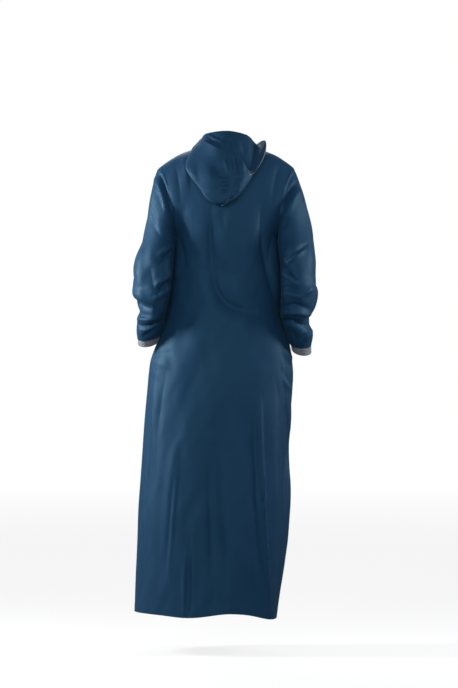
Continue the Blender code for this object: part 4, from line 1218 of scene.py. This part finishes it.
def hood(cloth, band, runs):
    """The hood's two halves and the band inside its face edge."""
    layer = ease((np.linspace(0, 1, HOOD_COLUMNS + 1) - OUTER_LAYER) / OUTER_FADE)[None, :]
    nets, facings = [], []
    for name, net in zip(("left", "right"), hood_nets()):
        sign = 1 if name == "right" else -1
        normals = grid_normals(net) * sign
        share = inward_share(net)
        nets.append(net)
        facings.append(normals)
        net = creased(net, normals, HOOD_CREASES, share * layer)
        net = creased(net, -normals, STAND_CREASES, share * (1 - layer))
        normals = grid_normals(net) * sign
        runs.append((net[:, -1 - HOOD_STITCH_STEPS], normals[:, -1 - HOOD_STITCH_STEPS]))
        runs.append((net[HOOD_STITCH_STEPS], normals[HOOD_STITCH_STEPS]))
        made = cloth_shell("hood_" + name + "_cloth", net, CLOTH, cloth, flip=sign < 0)
        carry(made, "robe_cloth", "hood_" + name)
    edge_band(nets, facings, band)


# The floor: how far below the hem it lies and how far it reaches, and its glow near and far
FLOOR_DROP = 0.115
FLOOR_REACH = 30.0
FLOOR_COLOUR = (0.100, 0.094, 0.091)
FLOOR_NEAR = 0.8
FLOOR_FAR = 13.0
FLOOR_GLOW_NEAR = 0.80
FLOOR_GLOW_FAR = 1.0

# Lights: place, size and power of each, all turned towards one point of the robe
AMBIENT = 0.16
AMBIENT_COLOUR = (0.93, 0.96, 1.0)
LIGHT_COLOUR = (0.90, 0.97, 1.0)
AIM = (0.0, 0.0, -0.60)
LIGHTS = [
    ("side_left", (1.6, 0.02, -0.05), (0.30, 0.6), 74),
    ("side_right", (-1.6, 0.05, -0.10), (0.30, 0.8), 31),
    ("key_back", (1.5, 4.0, 0.8), (1.0, 1.0), 66),
    ("fill_back", (-0.3, 4.6, 0.3), (3.0, 2.2), 150),
    ("soft_top", (0.0, 0.2, 3.0), (2.4, 2.4), 12),
    ("soft_front", (0.4, -3.4, 2.4), (2.4, 2.4), 80),
]

# The camera, level with the robe's middle and far enough away for a long lens
CAMERA_PLACE = (-0.0073, 10.0, -0.552)
FRAME_HEIGHT = 2.009
SENSOR = 36.0


def pale_floor():
    """A pale matt floor that glows more the farther it is from the robe, as a lit studio floor does."""
    made, tree, shader = new_material("pale_floor")
    shader.inputs["Base Color"].default_value = (*FLOOR_COLOUR, 1)
    shader.inputs["Roughness"].default_value = 0.9
    shader.inputs["Specular IOR Level"].default_value = 0.1
    place = node(tree, "ShaderNodeTexCoord", (-900, 0))
    reach = node(tree, "ShaderNodeVectorMath", (-700, 0), operation="LENGTH")
    tree.links.new(place.outputs["Object"], reach.inputs[0])
    glow = node(tree, "ShaderNodeMapRange", (-500, 0), Value=reach.outputs["Value"])
    glow.inputs["From Min"].default_value = FLOOR_NEAR
    glow.inputs["From Max"].default_value = FLOOR_FAR
    glow.inputs["To Min"].default_value = FLOOR_GLOW_NEAR
    glow.inputs["To Max"].default_value = FLOOR_GLOW_FAR
    seen = node(tree, "ShaderNodeLightPath", (-700, -300))
    shown = node(tree, "ShaderNodeMath", (-300, -150), operation="MULTIPLY")
    tree.links.new(glow.outputs[0], shown.inputs[0])
    tree.links.new(seen.outputs["Is Camera Ray"], shown.inputs[1])
    shader.inputs["Emission Color"].default_value = (1, 1, 1, 1)
    tree.links.new(shown.outputs[0], shader.inputs["Emission Strength"])
    return made


def studio_floor():
    """A pale floor a little below the hem."""
    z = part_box("back_panel")[0][2] - FLOOR_DROP
    signs = ((-1, -1), (1, -1), (1, 1), (-1, 1))
    mesh = bpy.data.meshes.new("floor")
    mesh.from_pydata([(x * FLOOR_REACH, y * FLOOR_REACH, z) for x, y in signs], [], [(0, 1, 2, 3)])
    mesh.materials.append(pale_floor())
    add_object("floor", mesh)


def surroundings():
    """A white backdrop to the camera, and soft light from all round."""
    world = bpy.data.worlds.new("studio")
    world.use_nodes = True
    tree = world.node_tree
    backdrop = tree.nodes["Background"]
    backdrop.inputs["Color"].default_value = (1, 1, 1, 1)
    backdrop.inputs["Strength"].default_value = 1.0
    ambient = node(tree, "ShaderNodeBackground", (0, -200), Color=(*AMBIENT_COLOUR, 1), Strength=AMBIENT)
    seen = node(tree, "ShaderNodeLightPath", (0, 300))
    mix = node(tree, "ShaderNodeMixShader", (200, 0))
    tree.links.new(seen.outputs["Is Camera Ray"], mix.inputs[0])
    tree.links.new(ambient.outputs[0], mix.inputs[1])
    tree.links.new(backdrop.outputs[0], mix.inputs[2])
    tree.links.new(mix.outputs[0], tree.nodes["World Output"].inputs["Surface"])
    bpy.context.scene.world = world


def lights():
    """Large soft lights beside, above, behind and in front of the robe."""
    for name, place, size, power in LIGHTS:
        light = bpy.data.lights.new(name, "AREA")
        light.shape = "RECTANGLE"
        light.size, light.size_y = size
        light.energy = power
        light.color = LIGHT_COLOUR
        made = add_object(name, light)
        made.location = place
        made.rotation_mode = "QUATERNION"
        made.rotation_quaternion = (Vector(AIM) - Vector(place)).to_track_quat("-Z", "Y")


def camera():
    """A camera with a long lens, behind the robe."""
    data = bpy.data.cameras.new("camera")
    data.sensor_width = SENSOR
    data.lens = SENSOR * CAMERA_PLACE[1] / FRAME_HEIGHT
    made = add_object("camera", data)
    made.location = CAMERA_PLACE
    made.rotation_euler = (math.radians(90), 0, math.radians(180))
    bpy.context.scene.camera = made


bpy.context.scene.view_settings.view_transform = "Standard"
camera()
studio_floor()
surroundings()
lights()
robe = robe_cloth("robe_cloth")
band = band_cloth("band_cloth")
runs = []
body_panels(robe, runs)
sleeves(robe, band, runs)
hood(robe, band, runs)
carry(stitching("stitching", runs, thread_finish("thread")), "robe_cloth")
